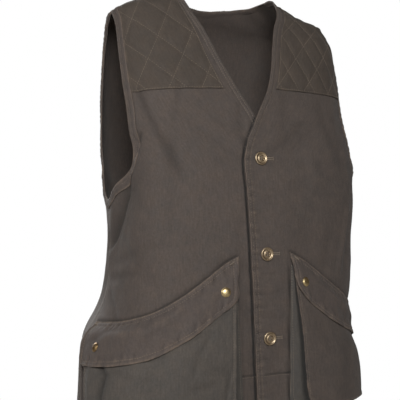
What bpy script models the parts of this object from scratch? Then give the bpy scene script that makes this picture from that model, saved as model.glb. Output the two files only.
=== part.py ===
"""A canvas gilet, buttoned and worn, built from the pieces that its maker cuts.

Metres, +Z up, the front faces -Y and the wearer's left is +X. The origin lies
midway between the neck ends of the shoulder seams.

All cloth lies on one hollow form. A place on the form is an angle round the
body (0 at the centre front, 90 degrees at the left side seam) and a height.
Each panel is a grid of such places, and what is sewn on a panel is made from
that panel's own points, moved out.
"""

import math

import bmesh
import bpy
import numpy as np
from mathutils import Vector

# Walls and gaps
PANEL_WALL = 0.0016
PATCH_WALL = 0.0014
BAND_WALL = 0.0012
POUCH_WALL = 0.0015
GUSSET_WALL = 0.0012
FLAP_WALL = 0.0018
SEAM_GAP = 0.0003
LAY_GAP = 0.0007
QUILT_RISE = 0.0016

# Lengths of the cut
HEM = -0.700
ARMHOLE_FOOT = -0.350
ARMHOLE_BAND = 0.014
YOKE_INNER = -0.181
YOKE_OUTER = -0.187
SHOULDER_TIP = -0.045
SEAM_STEP = 0.004
LAP_RISE = 0.0034
LAP_FLAT = 0.030
LAP_FADE = 0.060

# Level sections of the form: height, half width, depth ahead of and behind the side line
SECTIONS = np.array([
    (-0.740, 0.222, 0.160, 0.152),
    (-0.620, 0.214, 0.158, 0.150),
    (-0.520, 0.206, 0.156, 0.138),
    (-0.420, 0.202, 0.152, 0.124),
    (-0.350, 0.204, 0.147, 0.128),
    (-0.280, 0.203, 0.138, 0.133),
    (-0.200, 0.201, 0.119, 0.132),
    (-0.130, 0.199, 0.098, 0.121),
    (-0.080, 0.195, 0.079, 0.107),
    (-0.060, 0.193, 0.068, 0.098),
    (-0.045, 0.187, 0.060, 0.088),
    (-0.033, 0.160, 0.052, 0.077),
    (-0.018, 0.122, 0.044, 0.066),
    (0.000, 0.086, 0.036, 0.056),
])
SIDE_LINE = 0.006
SHOULDER_DROP = 0.016
SQUARENESS = 0.06
MEAN_RADIUS = 0.185

# Broad swells: angle, height, reach round, reach up, reach down, rise
SWELLS = (
    (-94, -0.585, 44, 0.055, 0.30, 0.036),
    (-112, -0.370, 36, 0.080, 0.080, -0.006),
    (78, -0.585, 44, 0.060, 0.300, -0.037),
    (75, -0.300, 36, 0.045, 0.100, 0.018),
    (180, -0.590, 55, 0.110, 0.200, 0.010),
    (180, -0.420, 50, 0.090, 0.080, -0.006),
    (82, -0.052, 30, 0.035, 0.028, -0.011),
)

# Creases: from angle and height, to angle and height, half width, rise
CREASES = (
    (-58, -0.275, -66, -0.345, 0.027, -0.006),
    (-66, -0.345, -80, -0.415, 0.027, -0.006),
    (-84, -0.375, -92, -0.450, 0.018, 0.004),
    (-53, -0.212, -37, -0.305, 0.018, -0.0025),
    (-70, -0.440, -50, -0.480, 0.016, -0.003),
    (60, -0.290, 70, -0.350, 0.026, -0.005),
    (70, -0.350, 82, -0.430, 0.026, -0.005),
    (52, -0.215, 40, -0.290, 0.017, -0.002),
    (-28, -0.250, -10, -0.292, 0.014, -0.0018),
    (24, -0.250, 9, -0.290, 0.013, -0.0018),
    (100, -0.400, 106, -0.640, 0.022, -0.006),
    (-101, -0.420, -108, -0.640, 0.024, -0.007),
    (128, -0.330, 136, -0.560, 0.026, 0.006),
    (-130, -0.350, -140, -0.600, 0.026, 0.006),
    (150, -0.400, 200, -0.425, 0.018, -0.005),
    (168, -0.440, 215, -0.475, 0.017, -0.004),
    (152, -0.480, 160, -0.670, 0.024, -0.005),
    (205, -0.500, 200, -0.670, 0.026, -0.005),
    (140, -0.160, 165, -0.240, 0.020, -0.003),
    (-140, -0.160, -162, -0.250, 0.020, -0.003),
)

# Front edge and neckline: height, distance out from the centre front on the right and left front
FRONT_EDGE = np.array([
    (HEM, -0.022, -0.022),
    (-0.600, -0.024, -0.024),
    (-0.430, -0.026, -0.026),
    (-0.340, -0.027, -0.027),
    (-0.295, -0.027, -0.027),
    (-0.268, -0.020, -0.020),
    (-0.243, -0.009, -0.007),
    (-0.219, 0.002, 0.006),
    (-0.183, 0.021, 0.027),
    (-0.150, 0.037, 0.039),
    (-0.115, 0.051, 0.048),
    (-0.076, 0.065, 0.061),
    (-0.037, 0.081, 0.080),
    (-0.014, 0.0865, 0.0865),
    (0.000, 0.086, 0.086),
])

# Width of cloth between the neckline and a shoulder patch: height, on the right and left front
NECK_MARGINS = np.array([
    (-0.181, 0.024, 0.0148),
    (-0.050, 0.0135, 0.0148),
])

# Armholes from shoulder tip to foot: height, distance from the side line
ARMHOLE_AHEAD = (
    (SHOULDER_TIP, 0.000),
    (-0.062, 0.018),
    (-0.090, 0.030),
    (-0.120, 0.040),
    (-0.160, 0.052),
    (-0.200, 0.063),
    (-0.245, 0.073),
    (-0.280, 0.076),
    (-0.301, 0.071),
    (-0.316, 0.056),
    (-0.333, 0.027),
    (-0.346, 0.009),
    (ARMHOLE_FOOT, 0.000),
)
ARMHOLE_BEHIND = (
    (SHOULDER_TIP, 0.000),
    (-0.062, 0.016),
    (-0.090, 0.026),
    (-0.130, 0.036),
    (-0.180, 0.046),
    (-0.235, 0.054),
    (-0.280, 0.055),
    (-0.312, 0.050),
    (-0.337, 0.036),
    (-0.348, 0.016),
    (ARMHOLE_FOOT, 0.000),
)

# Back neckline: distance out from the centre, height
BACK_NECK = np.array([
    (0.000, -0.018),
    (0.030, -0.016),
    (0.055, -0.009),
    (0.077, -0.003),
    (0.086, 0.000),
])

# Sewn top edge of a pocket flap: angle, height
FLAP_SEAM = np.array([
    (8.0, -0.436),
    (16.0, -0.453),
    (23.0, -0.473),
    (30.0, -0.491),
    (38.0, -0.507),
    (46.0, -0.519),
    (61.0, -0.533),
    (90.0, -0.545),
])
FLAP_DEPTH = 0.066
FLAP_CORNER = 0.014
FLAP_INNER_CORNER = {"right": (0.014, 0.014), "left": (0.024, 0.034)}
FLAP_TAPER = {"right": 0.0, "left": 0.011}
FLAP_INNER = {"right": 0.050, "left": 0.042}
FLAP_OUTER = 86.0
FLAP_WIDTH = 0.250
FLAP_LAY = 0.0009
FLAP_CLEAR = 0.0022
FLAP_RISE_OVER = 0.016

# Bellows of a pocket, down from its mouth: share of the way, stand-off, inset
BELLOWS = np.array([
    (0.00, 0.0045, 0.002),
    (0.20, 0.0140, 0.004),
    (0.45, 0.0255, 0.007),
    (0.75, 0.0310, 0.010),
    (1.00, 0.0330, 0.012),
])

# Share of the bellows' stand-off at a pouch's inner seam, added at its middle, at its outer seam
STAND_SHARES = {"right": (0.40, 0.45, 0.22), "left": (0.66, 0.25, 0.20)}

# Distance of a pocket's inner seam from the centre front, at its mouth and at its floor
POCKET_INNER = {"right": (0.0500, 0.0460), "left": (0.0405, 0.0330)}
POCKET_OUTER = 83.0
POCKET_TOP = -0.454
POCKET_FLOOR = -0.684
POCKET_MOUTH = 0.018
POCKET_CORNER = 0.040
POCKET_WIDTH = 0.245
POCKET_BELLY = 0.004
POCKET_LAY = 0.0041
BELLOWS_FOLD = 0.20
GUSSET_GAP = 0.0017
GUSSET_TUCK = 0.0015

# Diamond quilting, two families of lines a side: slope in degrees, spacing, offset of one line
QUILTING = {
    "right": ((40.0, 0.0417, -0.1657), (-62.0, 0.0452, 0.0772)),
    "left": ((48.0, 0.0402, -0.1531), (-65.0, 0.0286, 0.0305)),
}
QUILT_GROOVE = 0.005

# Trims
BUTTON_RADIUS = 0.0105
BUTTON_HEIGHTS = {"top": -0.293, "middle": -0.439, "bottom": -0.566}
BUTTON_HOLE = 0.0011
BUTTON_HOLE_RING = 0.0019
SNAP_RADIUS = 0.0073
SNAP_DEPTH = 0.0032
TRIM_GAP = 0.0005
SNAP_SPOTS = {
    "right_front": (0.068, 0.60),
    "right_side": (0.826, 0.60),
    "left_front": (0.054, 0.583),
    "left_side": (0.828, 0.57),
}

# Grid counts
LOWER_ROWS = 11
CHEST_ROWS = 9
ROWS_OPEN_OUT = 1.35
YOKE_ROWS = 6
FRONT_COLUMNS = 11
BACK_SHOULDER_COLUMNS = 6
BACK_NECK_COLUMNS = 4
PATCH_ROWS_EACH = 3
PATCH_COLUMNS_EACH = 2
PATCH_END = 0.1
DENSE = 160
FLAP_GRID = (20, 6)
POUCH_GRID = (14, 10)
GUSSET_COLUMNS = 4
SNAP_SIDES = 14
BUTTON_SIDES = 20
LEVELS = np.linspace(HEM, ARMHOLE_FOOT - ARMHOLE_BAND, LOWER_ROWS + 1)

COLOURS = {
    "canvas": (0.075, 0.062, 0.052, 1.0),
    "patch_canvas": (0.066, 0.055, 0.044, 1.0),
    "trim_canvas": (0.070, 0.058, 0.047, 1.0),
    "gusset_canvas": (0.052, 0.054, 0.047, 1.0),
    "brass": (0.420, 0.330, 0.190, 1.0),
}


def smooth(table, column, at):
    """Read a column of a table, whose first column rises, by a cubic through its rows."""
    places = table[:, 0]
    values = table[:, column]
    steps = np.diff(places)
    slopes = np.diff(values) / steps
    inner = (slopes[:-1] * steps[1:] + slopes[1:] * steps[:-1]) / (steps[:-1] + steps[1:])
    tangents = np.concatenate([slopes[:1], inner, slopes[-1:]])
    row = np.clip(np.searchsorted(places, at) - 1, 0, len(places) - 2)
    t = (at - places[row]) / steps[row]
    start = (2 * t**3 - 3 * t**2 + 1) * values[row]
    leave = (t**3 - 2 * t**2 + t) * steps[row] * tangents[row]
    end = (3 * t**2 - 2 * t**3) * values[row + 1]
    arrive = (t**3 - t**2) * steps[row] * tangents[row + 1]
    return start + leave + end + arrive


def ease(share):
    """Go from 0 to 1 with level ends."""
    share = np.clip(share, 0.0, 1.0)
    return share * share * (3.0 - 2.0 * share)


# The form

def across_share(angle):
    """Share of the half width that lies at an angle."""
    return (np.sin(angle) + SQUARENESS * np.sin(3 * angle)) / (1 - SQUARENESS)


def ahead_share(angle):
    """Share of the depth that lies at an angle."""
    return (np.cos(angle) - SQUARENESS * np.cos(3 * angle)) / (1 - SQUARENESS)


QUARTER = np.linspace(0.0, math.pi / 2, 361)
QUARTER_TURN = np.arctan2(across_share(QUARTER), ahead_share(QUARTER))


def angle_from_across(share):
    """Angle on the front half whose share of the half width is given."""
    return np.sign(share) * np.interp(np.abs(share), across_share(QUARTER), QUARTER)


def angle_from_ahead(share):
    """Angle between the centre front and the side whose share of the depth is given."""
    return np.interp(share, ahead_share(QUARTER)[::-1], QUARTER[::-1])


def angle_of_point(point, behind):
    """Angle at which a level line from the middle through a point leaves the form."""
    half_width = smooth(SECTIONS, 1, point[..., 2])
    depth = smooth(SECTIONS, 3 if behind else 2, point[..., 2])
    across = np.abs(point[..., 0]) / half_width
    ahead = np.abs(point[..., 1] - SIDE_LINE) / depth
    angle = np.interp(np.arctan2(across, ahead), QUARTER_TURN, QUARTER)
    if behind:
        angle = math.pi - angle
    return np.where(point[..., 0] < 0, -angle, angle)


def turn_between(angle, reference):
    """Signed turn from a reference angle, never more than half a round."""
    return (angle - reference + math.pi) % (2 * math.pi) - math.pi


def rise_at(angle, height):
    """How far the swells and creases carry the cloth out of the plain form."""
    rise = np.zeros(np.broadcast(angle, height).shape)
    for at_angle, at_height, round_reach, up_reach, down_reach, swell in SWELLS:
        turn = turn_between(angle, math.radians(at_angle)) / math.radians(round_reach)
        lift = height - at_height
        drop = np.where(lift > 0, lift / up_reach, lift / down_reach)
        rise = rise + swell * np.exp(-turn**2 - drop**2)
    for from_angle, from_height, to_angle, to_height, half_width, crease in CREASES:
        run = np.array([
            MEAN_RADIUS * turn_between(math.radians(to_angle), math.radians(from_angle)),
            to_height - from_height,
        ])
        across = MEAN_RADIUS * turn_between(angle, math.radians(from_angle))
        up = height - from_height
        share = np.clip((across * run[0] + up * run[1]) / (run @ run), 0.0, 1.0)
        distance = np.hypot(across - share * run[0], up - share * run[1])
        rise = rise + crease * np.exp(-((distance / half_width) ** 2))
    return rise


def plain_form(angle, height):
    """Point of the form without its folds."""
    half_width = smooth(SECTIONS, 1, height)
    ahead = smooth(SECTIONS, 2, height)
    behind = smooth(SECTIONS, 3, height)
    depth = np.where(np.cos(angle) > 0, ahead, behind)
    x = half_width * across_share(angle)
    y = SIDE_LINE - depth * ahead_share(angle)
    return np.stack([x, y, height + 0.0 * angle], axis=-1)


def normals_of(surface, angle, height):
    """Outward unit normals of a surface given as a function of angle and height."""
    step = 0.002
    round_way = surface(angle + step, height) - surface(angle - step, height)
    up_way = surface(angle, height + step) - surface(angle, height - step)
    normal = np.cross(round_way, up_way)
    return normal / np.linalg.norm(normal, axis=-1, keepdims=True)


def form(angle, height):
    """Point of the form with its swells and creases, the left shoulder worn a little lower."""
    normal = normals_of(plain_form, angle, np.minimum(height, -0.003))
    point = plain_form(angle, height) + normal * rise_at(angle, height)[..., None]
    out = np.clip((point[..., 0] - 0.04) / 0.19, 0.0, 1.0)
    point[..., 2] -= SHOULDER_DROP * np.sin(math.pi * out) * ease((height + 0.11) / 0.09)
    return point


def form_normals(angle, height):
    """Outward unit normals of the folded form, kept off its open top edge."""
    return normals_of(form, angle, np.minimum(height, -0.003))


# Lines on the form, as arrays of angle and height

def lengths_along(points):
    """Distance from the start to each point of a line."""
    steps = np.linalg.norm(np.diff(points, axis=0), axis=-1)
    return np.concatenate([[0.0], np.cumsum(steps)])


def spaced(line, distances):
    """Places on a line at distances along it, given in metres from its start."""
    along = lengths_along(plain_form(line[:, 0], line[:, 1]))
    angle = np.interp(distances, along, line[:, 0])
    height = np.interp(distances, along, line[:, 1])
    return np.stack([angle, height], axis=-1)


def line_length(line):
    """Length of a line on the plain form."""
    return lengths_along(plain_form(line[:, 0], line[:, 1]))[-1]


def through(rows):
    """Dense smooth path through a few rows, spaced by the distance between them."""
    rows = np.array(rows)
    table = np.column_stack([lengths_along(rows), rows])
    at = np.linspace(0.0, table[-1, 0], DENSE)
    return np.stack([smooth(table, 1, at), smooth(table, 2, at)], axis=-1)


def front_edge_line(hand):
    """Front edge and neckline of a front, hem to shoulder seam, as on the wearer's left."""
    height = np.concatenate([
        np.linspace(HEM, -0.02, DENSE),
        np.linspace(-0.02, 0.0, DENSE // 4)[1:],
    ])
    share = smooth(FRONT_EDGE, 1 if hand < 0 else 2, height) / smooth(SECTIONS, 1, height)
    angle = angle_from_across(np.clip(share, -1.0, 1.0))
    angle[-1] = math.pi / 2
    return np.stack([angle, height], axis=-1)


def armhole_line(rows, behind):
    """Armhole edge on the left side, foot to shoulder tip."""
    path = through(rows)[::-1]
    depth = smooth(SECTIONS, 3 if behind else 2, path[:, 0])
    angle = angle_from_ahead(np.clip(path[:, 1] / depth, 0.0, 1.0))
    if behind:
        angle = math.pi - angle
    angle[[0, -1]] = math.pi / 2
    return np.stack([angle, path[:, 0]], axis=-1)


def inset_line(line, width, behind):
    """The line a band's width inside an armhole edge, side seam to shoulder seam."""
    angle, height = line[:, 0], line[:, 1]
    points = plain_form(angle, height)
    normal = normals_of(plain_form, angle, np.minimum(height, -0.003))
    along = np.gradient(points, axis=0)
    inward = np.cross(normal, along)
    if behind:
        inward = -inward
    inward /= np.linalg.norm(inward, axis=-1, keepdims=True)
    moved = points + width * inward
    moved_angle = angle_of_point(moved, behind)
    inner = np.stack([moved_angle, moved[:, 2]], axis=-1)
    foot = (math.pi / 2, height[0] - width)
    seam = np.stack([np.full(DENSE, math.pi / 2), np.linspace(SHOULDER_TIP, 0.0, DENSE)], axis=-1)
    tip = spaced(seam, width)
    return np.vstack([[foot], inner[2:-2], [tip]])


def open_seams(places, behind):
    """Move the places that lie on a side or shoulder seam back by half the seam's gap."""
    depth = smooth(SECTIONS, 3 if behind else 2, places[..., 1])
    turn = 0.5 * SEAM_GAP * (1 - SQUARENESS) / (depth * (1 + 3 * SQUARENESS))
    on_seam = np.abs(places[..., 0] - math.pi / 2) < 1e-9
    moved = places.copy()
    moved[..., 0] += np.where(on_seam, turn if behind else -turn, 0.0)
    return moved


def row_between(start, end, behind):
    """Dense line round the form from one place to another, over the chord between them."""
    share = np.linspace(0.0, 1.0, 61)[:, None]
    chord = plain_form(*start) * (1 - share) + plain_form(*end) * share
    line = np.stack([angle_of_point(chord, behind), chord[:, 2]], axis=-1)
    line[0] = start
    line[-1] = end
    return line


def rising_places(line, yoke_height=YOKE_OUTER):
    """Places of every row on a line that rises from the hem to the top of a panel."""
    along = lengths_along(plain_form(*line.T))
    lower = np.interp(LEVELS, line[:, 1], along)
    yoke = np.interp(yoke_height, line[:, 1], along)
    foot = lower[-1] + SEAM_STEP
    chest_rows = foot + (yoke - foot) * np.linspace(0.0, 1.0, CHEST_ROWS + 1) ** ROWS_OPEN_OUT
    yoke_rows = np.linspace(yoke, along[-1] - SEAM_STEP, YOKE_ROWS + 1)[1:]
    return spaced(line, np.concatenate([lower, chest_rows, yoke_rows, along[-1:]]))


def block(starts, ends, behind, distances):
    """Grid of places between two rising lines, each row spaced by a rule for its line."""
    rows = []
    for start, end in zip(starts, ends):
        line = row_between(start, end, behind)
        rows.append(spaced(line, distances(line)))
    return np.array(rows)


def side_places(behind):
    """Places up the side seam and band line, and up the armhole edge, of the left half."""
    edge = armhole_line(ARMHOLE_BEHIND if behind else ARMHOLE_AHEAD, behind)
    inner = inset_line(edge, ARMHOLE_BAND, behind)
    side_seam = np.stack([np.full(20, math.pi / 2), np.linspace(HEM, inner[0, 1], 21)[:-1]], axis=-1)
    inner_places = rising_places(np.vstack([side_seam, inner]))
    upper = inner_places[LOWER_ROWS:]
    reached = lengths_along(plain_form(*upper.T))
    edge_places = spaced(edge, reached * line_length(edge) / reached[-1])
    middle = 0.5 * (upper + edge_places)
    return inner_places, np.stack([upper, middle, edge_places], axis=1)


# Panels

class Panel:
    """Grid of one cut panel, with the strips of it that carry the armhole bands."""

    def __init__(self, places, strips, lift, hand=0):
        self.places = places
        self.lift = lift
        self.hand = hand
        self.points, self.normals = self.solve(places)
        self.strips = [self.solve(strip) for strip in strips]

    def solve(self, places):
        """Points and normals of places on this panel's outer face."""
        angle, height = places[..., 0], places[..., 1]
        normals = form_normals(angle, height)
        return form(angle, height) + normals * self.lift(angle, height)[..., None], normals

    def at_cells(self, rows, columns):
        """Points and normals between the grid's own, by the cell they fall in."""
        row = np.clip(rows.astype(int), 0, self.points.shape[0] - 2)
        column = np.clip(columns.astype(int), 0, self.points.shape[1] - 2)
        up = (rows - row)[..., None]
        along = (columns - column)[..., None]
        found = []
        for grid in (self.points, self.normals):
            low = grid[row, column] * (1 - along) + grid[row, column + 1] * along
            high = grid[row + 1, column] * (1 - along) + grid[row + 1, column + 1] * along
            found.append(low * (1 - up) + high * up)
        found[1] /= np.linalg.norm(found[1], axis=-1, keepdims=True)
        return found

    def at_places(self, angle, height):
        """Points and normals on the panel's facets at places below its armhole."""
        angle, height = np.broadcast_arrays(angle, height)
        rows = np.interp(height, LEVELS, np.arange(len(LEVELS), dtype=float))
        columns = np.empty(rows.shape)
        for index in np.ndindex(rows.shape):
            low = min(int(rows[index]), LOWER_ROWS - 1)
            share = rows[index] - low
            turns = self.places[low, :, 0] * (1 - share) + self.places[low + 1, :, 0] * share
            turns = np.abs(turns - turns[0])
            turn = abs(angle[index] - self.places[low, 0, 0])
            columns[index] = np.interp(turn, turns, np.arange(len(turns), dtype=float))
        return self.at_cells(rows, columns)


def flat_lift(angle, height):
    """A panel that lies on the form itself."""
    return np.zeros(np.broadcast(angle, height).shape)


def lap_lift(angle, height):
    """The left front, carried out where it laps over the right one."""
    across = smooth(SECTIONS, 1, height) * across_share(angle)
    return LAP_RISE * (1 - ease((across - LAP_FLAT) / LAP_FADE))


def front_panel(hand):
    """One front, columns from its front edge to its side seam, rows from the hem up."""

    def distances(line):
        length = line_length(line)
        margin = np.interp(line[0, 1], NECK_MARGINS[:, 0], NECK_MARGINS[:, 1 if hand < 0 else 2])
        body = np.linspace(margin, length - SEAM_STEP, FRONT_COLUMNS + 1)
        return np.concatenate([[0.0], body, [length]])

    side_line, strip = side_places(False)
    front_line = rising_places(front_edge_line(hand), YOKE_INNER)
    grid = block(front_line, side_line, False, distances)
    grid, strip = open_seams(grid, False), open_seams(strip, False)
    grid[..., 0] *= hand
    strip[..., 0] *= hand
    return Panel(grid, [strip], lap_lift if hand > 0 else flat_lift, hand)


def below_neck_line():
    """Line down the back from the neck end of the left shoulder seam."""
    height = np.concatenate([np.linspace(HEM, -0.02, DENSE), np.linspace(-0.02, 0.0, DENSE)[1:]])
    share = np.clip(BACK_NECK[-1, 0] / smooth(SECTIONS, 1, height), 0.0, 1.0)
    angle = math.pi - angle_from_across(share)
    angle[-1] = math.pi / 2
    return np.stack([angle, height], axis=-1)


def back_neck_line():
    """Left half of the back neckline, from the shoulder seam to the centre back."""
    across = np.linspace(BACK_NECK[-1, 0], 0.0, DENSE)
    height = smooth(BACK_NECK, 1, across)
    share = np.clip(across / smooth(SECTIONS, 1, height), 0.0, 1.0)
    angle = math.pi - angle_from_across(share)
    angle[0] = math.pi / 2
    return np.stack([angle, height], axis=-1)


def back_panel():
    """The back, columns from the left side seam to the right one, rows from the hem up."""

    def shoulder_distances(line):
        body = np.linspace(SEAM_STEP, line_length(line), BACK_SHOULDER_COLUMNS + 1)
        return np.concatenate([[0.0], body])

    def neck_distances(line):
        return np.linspace(0.0, line_length(line), BACK_NECK_COLUMNS + 1)

    side_line, strip = side_places(True)
    below_neck = rising_places(below_neck_line())
    centre_line = np.stack([
        np.full(DENSE, math.pi),
        np.linspace(HEM, BACK_NECK[0, 1], DENSE),
    ], axis=-1)
    centre = rising_places(centre_line)
    shoulder = block(side_line, below_neck, True, shoulder_distances)
    neck = block(below_neck, centre, True, neck_distances)
    neck_edge = back_neck_line()
    neck[-1] = spaced(neck_edge, neck_distances(neck_edge))
    left = open_seams(np.concatenate([shoulder, neck[:, 1:]], axis=1), True)
    strip = open_seams(strip, True)
    grid = np.concatenate([left, mirrored(left[:, -2::-1])], axis=1)
    return Panel(grid, [strip, mirrored(strip)], flat_lift)


def mirrored(places):
    """The same places on the other side of the centre back."""
    other = places.copy()
    other[..., 0] = 2 * math.pi - other[..., 0]
    return other


# Solids from grids

def material(node, finish):
    """A node's own material, in one of the cloths or the metal."""
    metal = finish == "brass"
    made = bpy.data.materials.new(node + "_" + finish)
    made.use_nodes = True
    shader = made.node_tree.nodes["Principled BSDF"]
    shader.inputs["Base Color"].default_value = COLOURS[finish]
    shader.inputs["Roughness"].default_value = 0.35 if metal else 0.85
    shader.inputs["Metallic"].default_value = 1.0 if metal else 0.0
    made.diffuse_color = COLOURS[finish]
    return made


def grid_surface(name, blocks, closed=False):
    """Open mesh from blocks of points, each faced along its own normals and then joined."""
    vertices, faces = [], []
    for points, normals in blocks:
        rows, columns = points.shape[:2]
        start = len(vertices)
        vertices.extend(points.reshape(-1, 3).tolist())
        corner = points[1, 1] - points[0, 0]
        other = points[1, 0] - points[0, 1]
        outward = np.dot(np.cross(corner, other), normals[0, 0]) > 0
        for row in range(rows if closed else rows - 1):
            above = (row + 1) % rows
            for column in range(columns - 1):
                face = [
                    start + row * columns + column,
                    start + row * columns + column + 1,
                    start + above * columns + column + 1,
                    start + above * columns + column,
                ]
                faces.append(face if outward else face[::-1])
    mesh = bpy.data.meshes.new(name)
    mesh.from_pydata(vertices, [], faces)
    joined = bmesh.new()
    joined.from_mesh(mesh)
    bmesh.ops.remove_doubles(joined, verts=joined.verts, dist=1e-6)
    joined.to_mesh(mesh)
    joined.free()
    mesh.shade_smooth()
    return mesh


def cloth(name, blocks, wall, outward, finish, closed=False):
    """A wall of cloth on a surface, grown out of it or into the form."""
    piece = bpy.data.objects.new(name, grid_surface(name, blocks, closed))
    piece.data.materials.append(material(name, finish))
    solid = piece.modifiers.new("wall", "SOLIDIFY")
    solid.thickness = wall
    solid.offset = outward
    garment.objects.link(piece)
    return piece


def laid_on(points, normals, gap):
    """A block of points moved out of the face they lie on."""
    return points + normals * gap, normals


# Pieces

def make_panels():
    """Both fronts and the back."""
    panels = {"right": front_panel(-1), "left": front_panel(1), "back": back_panel()}
    for name, panel in panels.items():
        node = name if name == "back" else "front_" + name
        cloth(node, [(panel.points, panel.normals)] + panel.strips, PANEL_WALL, -1, "canvas")
    return panels


def make_armhole_band(side, front_strip, back_strip):
    """Faced band all round one armhole, up the front and down the back."""
    points = np.concatenate([front_strip[0], back_strip[0][-2:0:-1]])
    normals = np.concatenate([front_strip[1], back_strip[1][-2:0:-1]])
    block = laid_on(points, normals, LAY_GAP)
    cloth("armhole_band_" + side, [block], BAND_WALL, 1, "trim_canvas", closed=True)


def arc_from_centre(angle, height):
    """Distance round the form from the centre front to a place."""
    share = np.linspace(0.0, 1.0, 40)
    line = plain_form(np.abs(angle)[..., None] * share, height[..., None] + 0 * share)
    return np.linalg.norm(np.diff(line, axis=-2), axis=-1).sum(axis=-1)


def quilt_puff(side, angle, height):
    """Share of the full rise, 0 along the quilting lines and 1 inside the diamonds."""
    across = arc_from_centre(angle, height)
    puff = np.ones(across.shape)
    for slope, pitch, offset in QUILTING[side]:
        lean = math.radians(slope)
        distance = height * math.cos(lean) - across * math.sin(lean) - offset
        off_line = np.abs((distance / pitch + 0.5) % 1.0 - 0.5) * pitch
        puff = puff * (1 - np.exp(-((off_line / QUILT_GROOVE) ** 2)))
    return puff


def make_shoulder_patch(side, panel):
    """Quilted patch over one yoke, between its neckline and its armhole band."""
    yoke = LOWER_ROWS + 1 + CHEST_ROWS
    rows = np.concatenate([
        yoke + np.arange(0, YOKE_ROWS * PATCH_ROWS_EACH) / PATCH_ROWS_EACH,
        [yoke + YOKE_ROWS, yoke + YOKE_ROWS + 1],
    ])
    columns = 1 + np.arange(0, FRONT_COLUMNS * PATCH_COLUMNS_EACH + 1) / PATCH_COLUMNS_EACH
    columns = np.append(columns, FRONT_COLUMNS + 2 - PATCH_END)
    rows, columns = np.meshgrid(rows.astype(float), columns, indexing="ij")
    points, normals = panel.at_cells(rows, columns)
    name = "shoulder_patch_" + side
    piece = cloth(name, [laid_on(points, normals, LAY_GAP)], PATCH_WALL + QUILT_RISE, 1, "patch_canvas")
    height = points[..., 2]
    angle = angle_of_point(points, False)
    puff = quilt_puff(side, angle, height)
    wall = (PATCH_WALL + QUILT_RISE * puff) / (PATCH_WALL + QUILT_RISE)
    group = piece.vertex_groups.new(name="wall")
    for index, share in enumerate(wall.ravel()):
        group.add([index], float(share), "REPLACE")
    piece.modifiers["wall"].vertex_group = "wall"


# Pockets

def flap_seam(angle):
    """Height of the sewn top edge of a flap at an angle."""
    return smooth(FLAP_SEAM, 1, np.degrees(np.abs(angle)))


def inner_angle(distance, height):
    """Angle at a distance out from the centre front."""
    return angle_from_across(distance / smooth(SECTIONS, 1, height))


def pouch_floor(along, width):
    """Height of a pouch's floor, rounded up at its two corners."""
    from_end = np.minimum(along, 1 - along) * width
    inside = np.clip(POCKET_CORNER - from_end, 0.0, POCKET_CORNER)
    return POCKET_FLOOR + POCKET_CORNER - np.sqrt(POCKET_CORNER**2 - inside**2)


def pocket_inner(side, height):
    """Angle of a pocket's inner seam at a height."""
    mouth, floor = POCKET_INNER[side]
    share = (POCKET_TOP - height) / (POCKET_TOP - POCKET_FLOOR)
    return inner_angle(mouth + (floor - mouth) * np.clip(share, 0.0, 1.0), height)


def pouch_place(side, along, down, inset_share):
    """Angle and height of a pouch point, by its shares of the width and of the drop."""
    inset = smooth(BELLOWS, 2, down) * inset_share
    level = POCKET_TOP + (POCKET_FLOOR - POCKET_TOP) * down
    inner = pocket_inner(side, level) + inset / MEAN_RADIUS
    outer = math.radians(POCKET_OUTER) - inset / MEAN_RADIUS
    angle = inner + along * (outer - inner)
    mouth = flap_seam(angle) - POCKET_MOUTH
    floor = pouch_floor(along, POCKET_WIDTH) + inset_share * BELLOWS[-1, 2] * 0.7
    return angle, mouth + down * (floor - mouth)


def stand_off(side, angle, height):
    """How far a pouch stands off its panel at a place."""
    inner = pocket_inner(side, height)
    along = np.clip((angle - inner) / (math.radians(POCKET_OUTER) - inner), 0.0, 1.0)
    mouth = flap_seam(angle) - POCKET_MOUTH
    down = np.clip((height - mouth) / (POCKET_FLOOR - mouth), 0.0, 1.0)
    belly = POCKET_BELLY * np.sin(math.pi * along) * np.sin(math.pi * down)
    rest = smooth(BELLOWS, 1, down) - POCKET_LAY
    at_inner, added, at_outer = STAND_SHARES[side]
    share = at_inner + (at_outer - at_inner) * along + added * np.sin(math.pi * along)
    return POCKET_LAY + rest * share + belly


def on_panel(panel, angle, height, gap):
    """Points and normals a distance out from a front's facets."""
    points, normals = panel.at_places(angle * panel.hand, height)
    return points + normals * np.broadcast_to(gap, angle.shape)[..., None], normals


def make_pouch(side, panel):
    """Front wall of a bellows pocket."""
    along, down = np.meshgrid(
        np.linspace(0.0, 1.0, POUCH_GRID[0] + 1),
        np.linspace(1.0, 0.0, POUCH_GRID[1] + 1),
    )
    angle, height = pouch_place(side, along, down, 1.0)
    points, normals = on_panel(panel, angle, height, stand_off(side, angle, height))
    cloth("pocket_pouch_" + side, [(points, normals)], POUCH_WALL, 1, "canvas")


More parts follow.
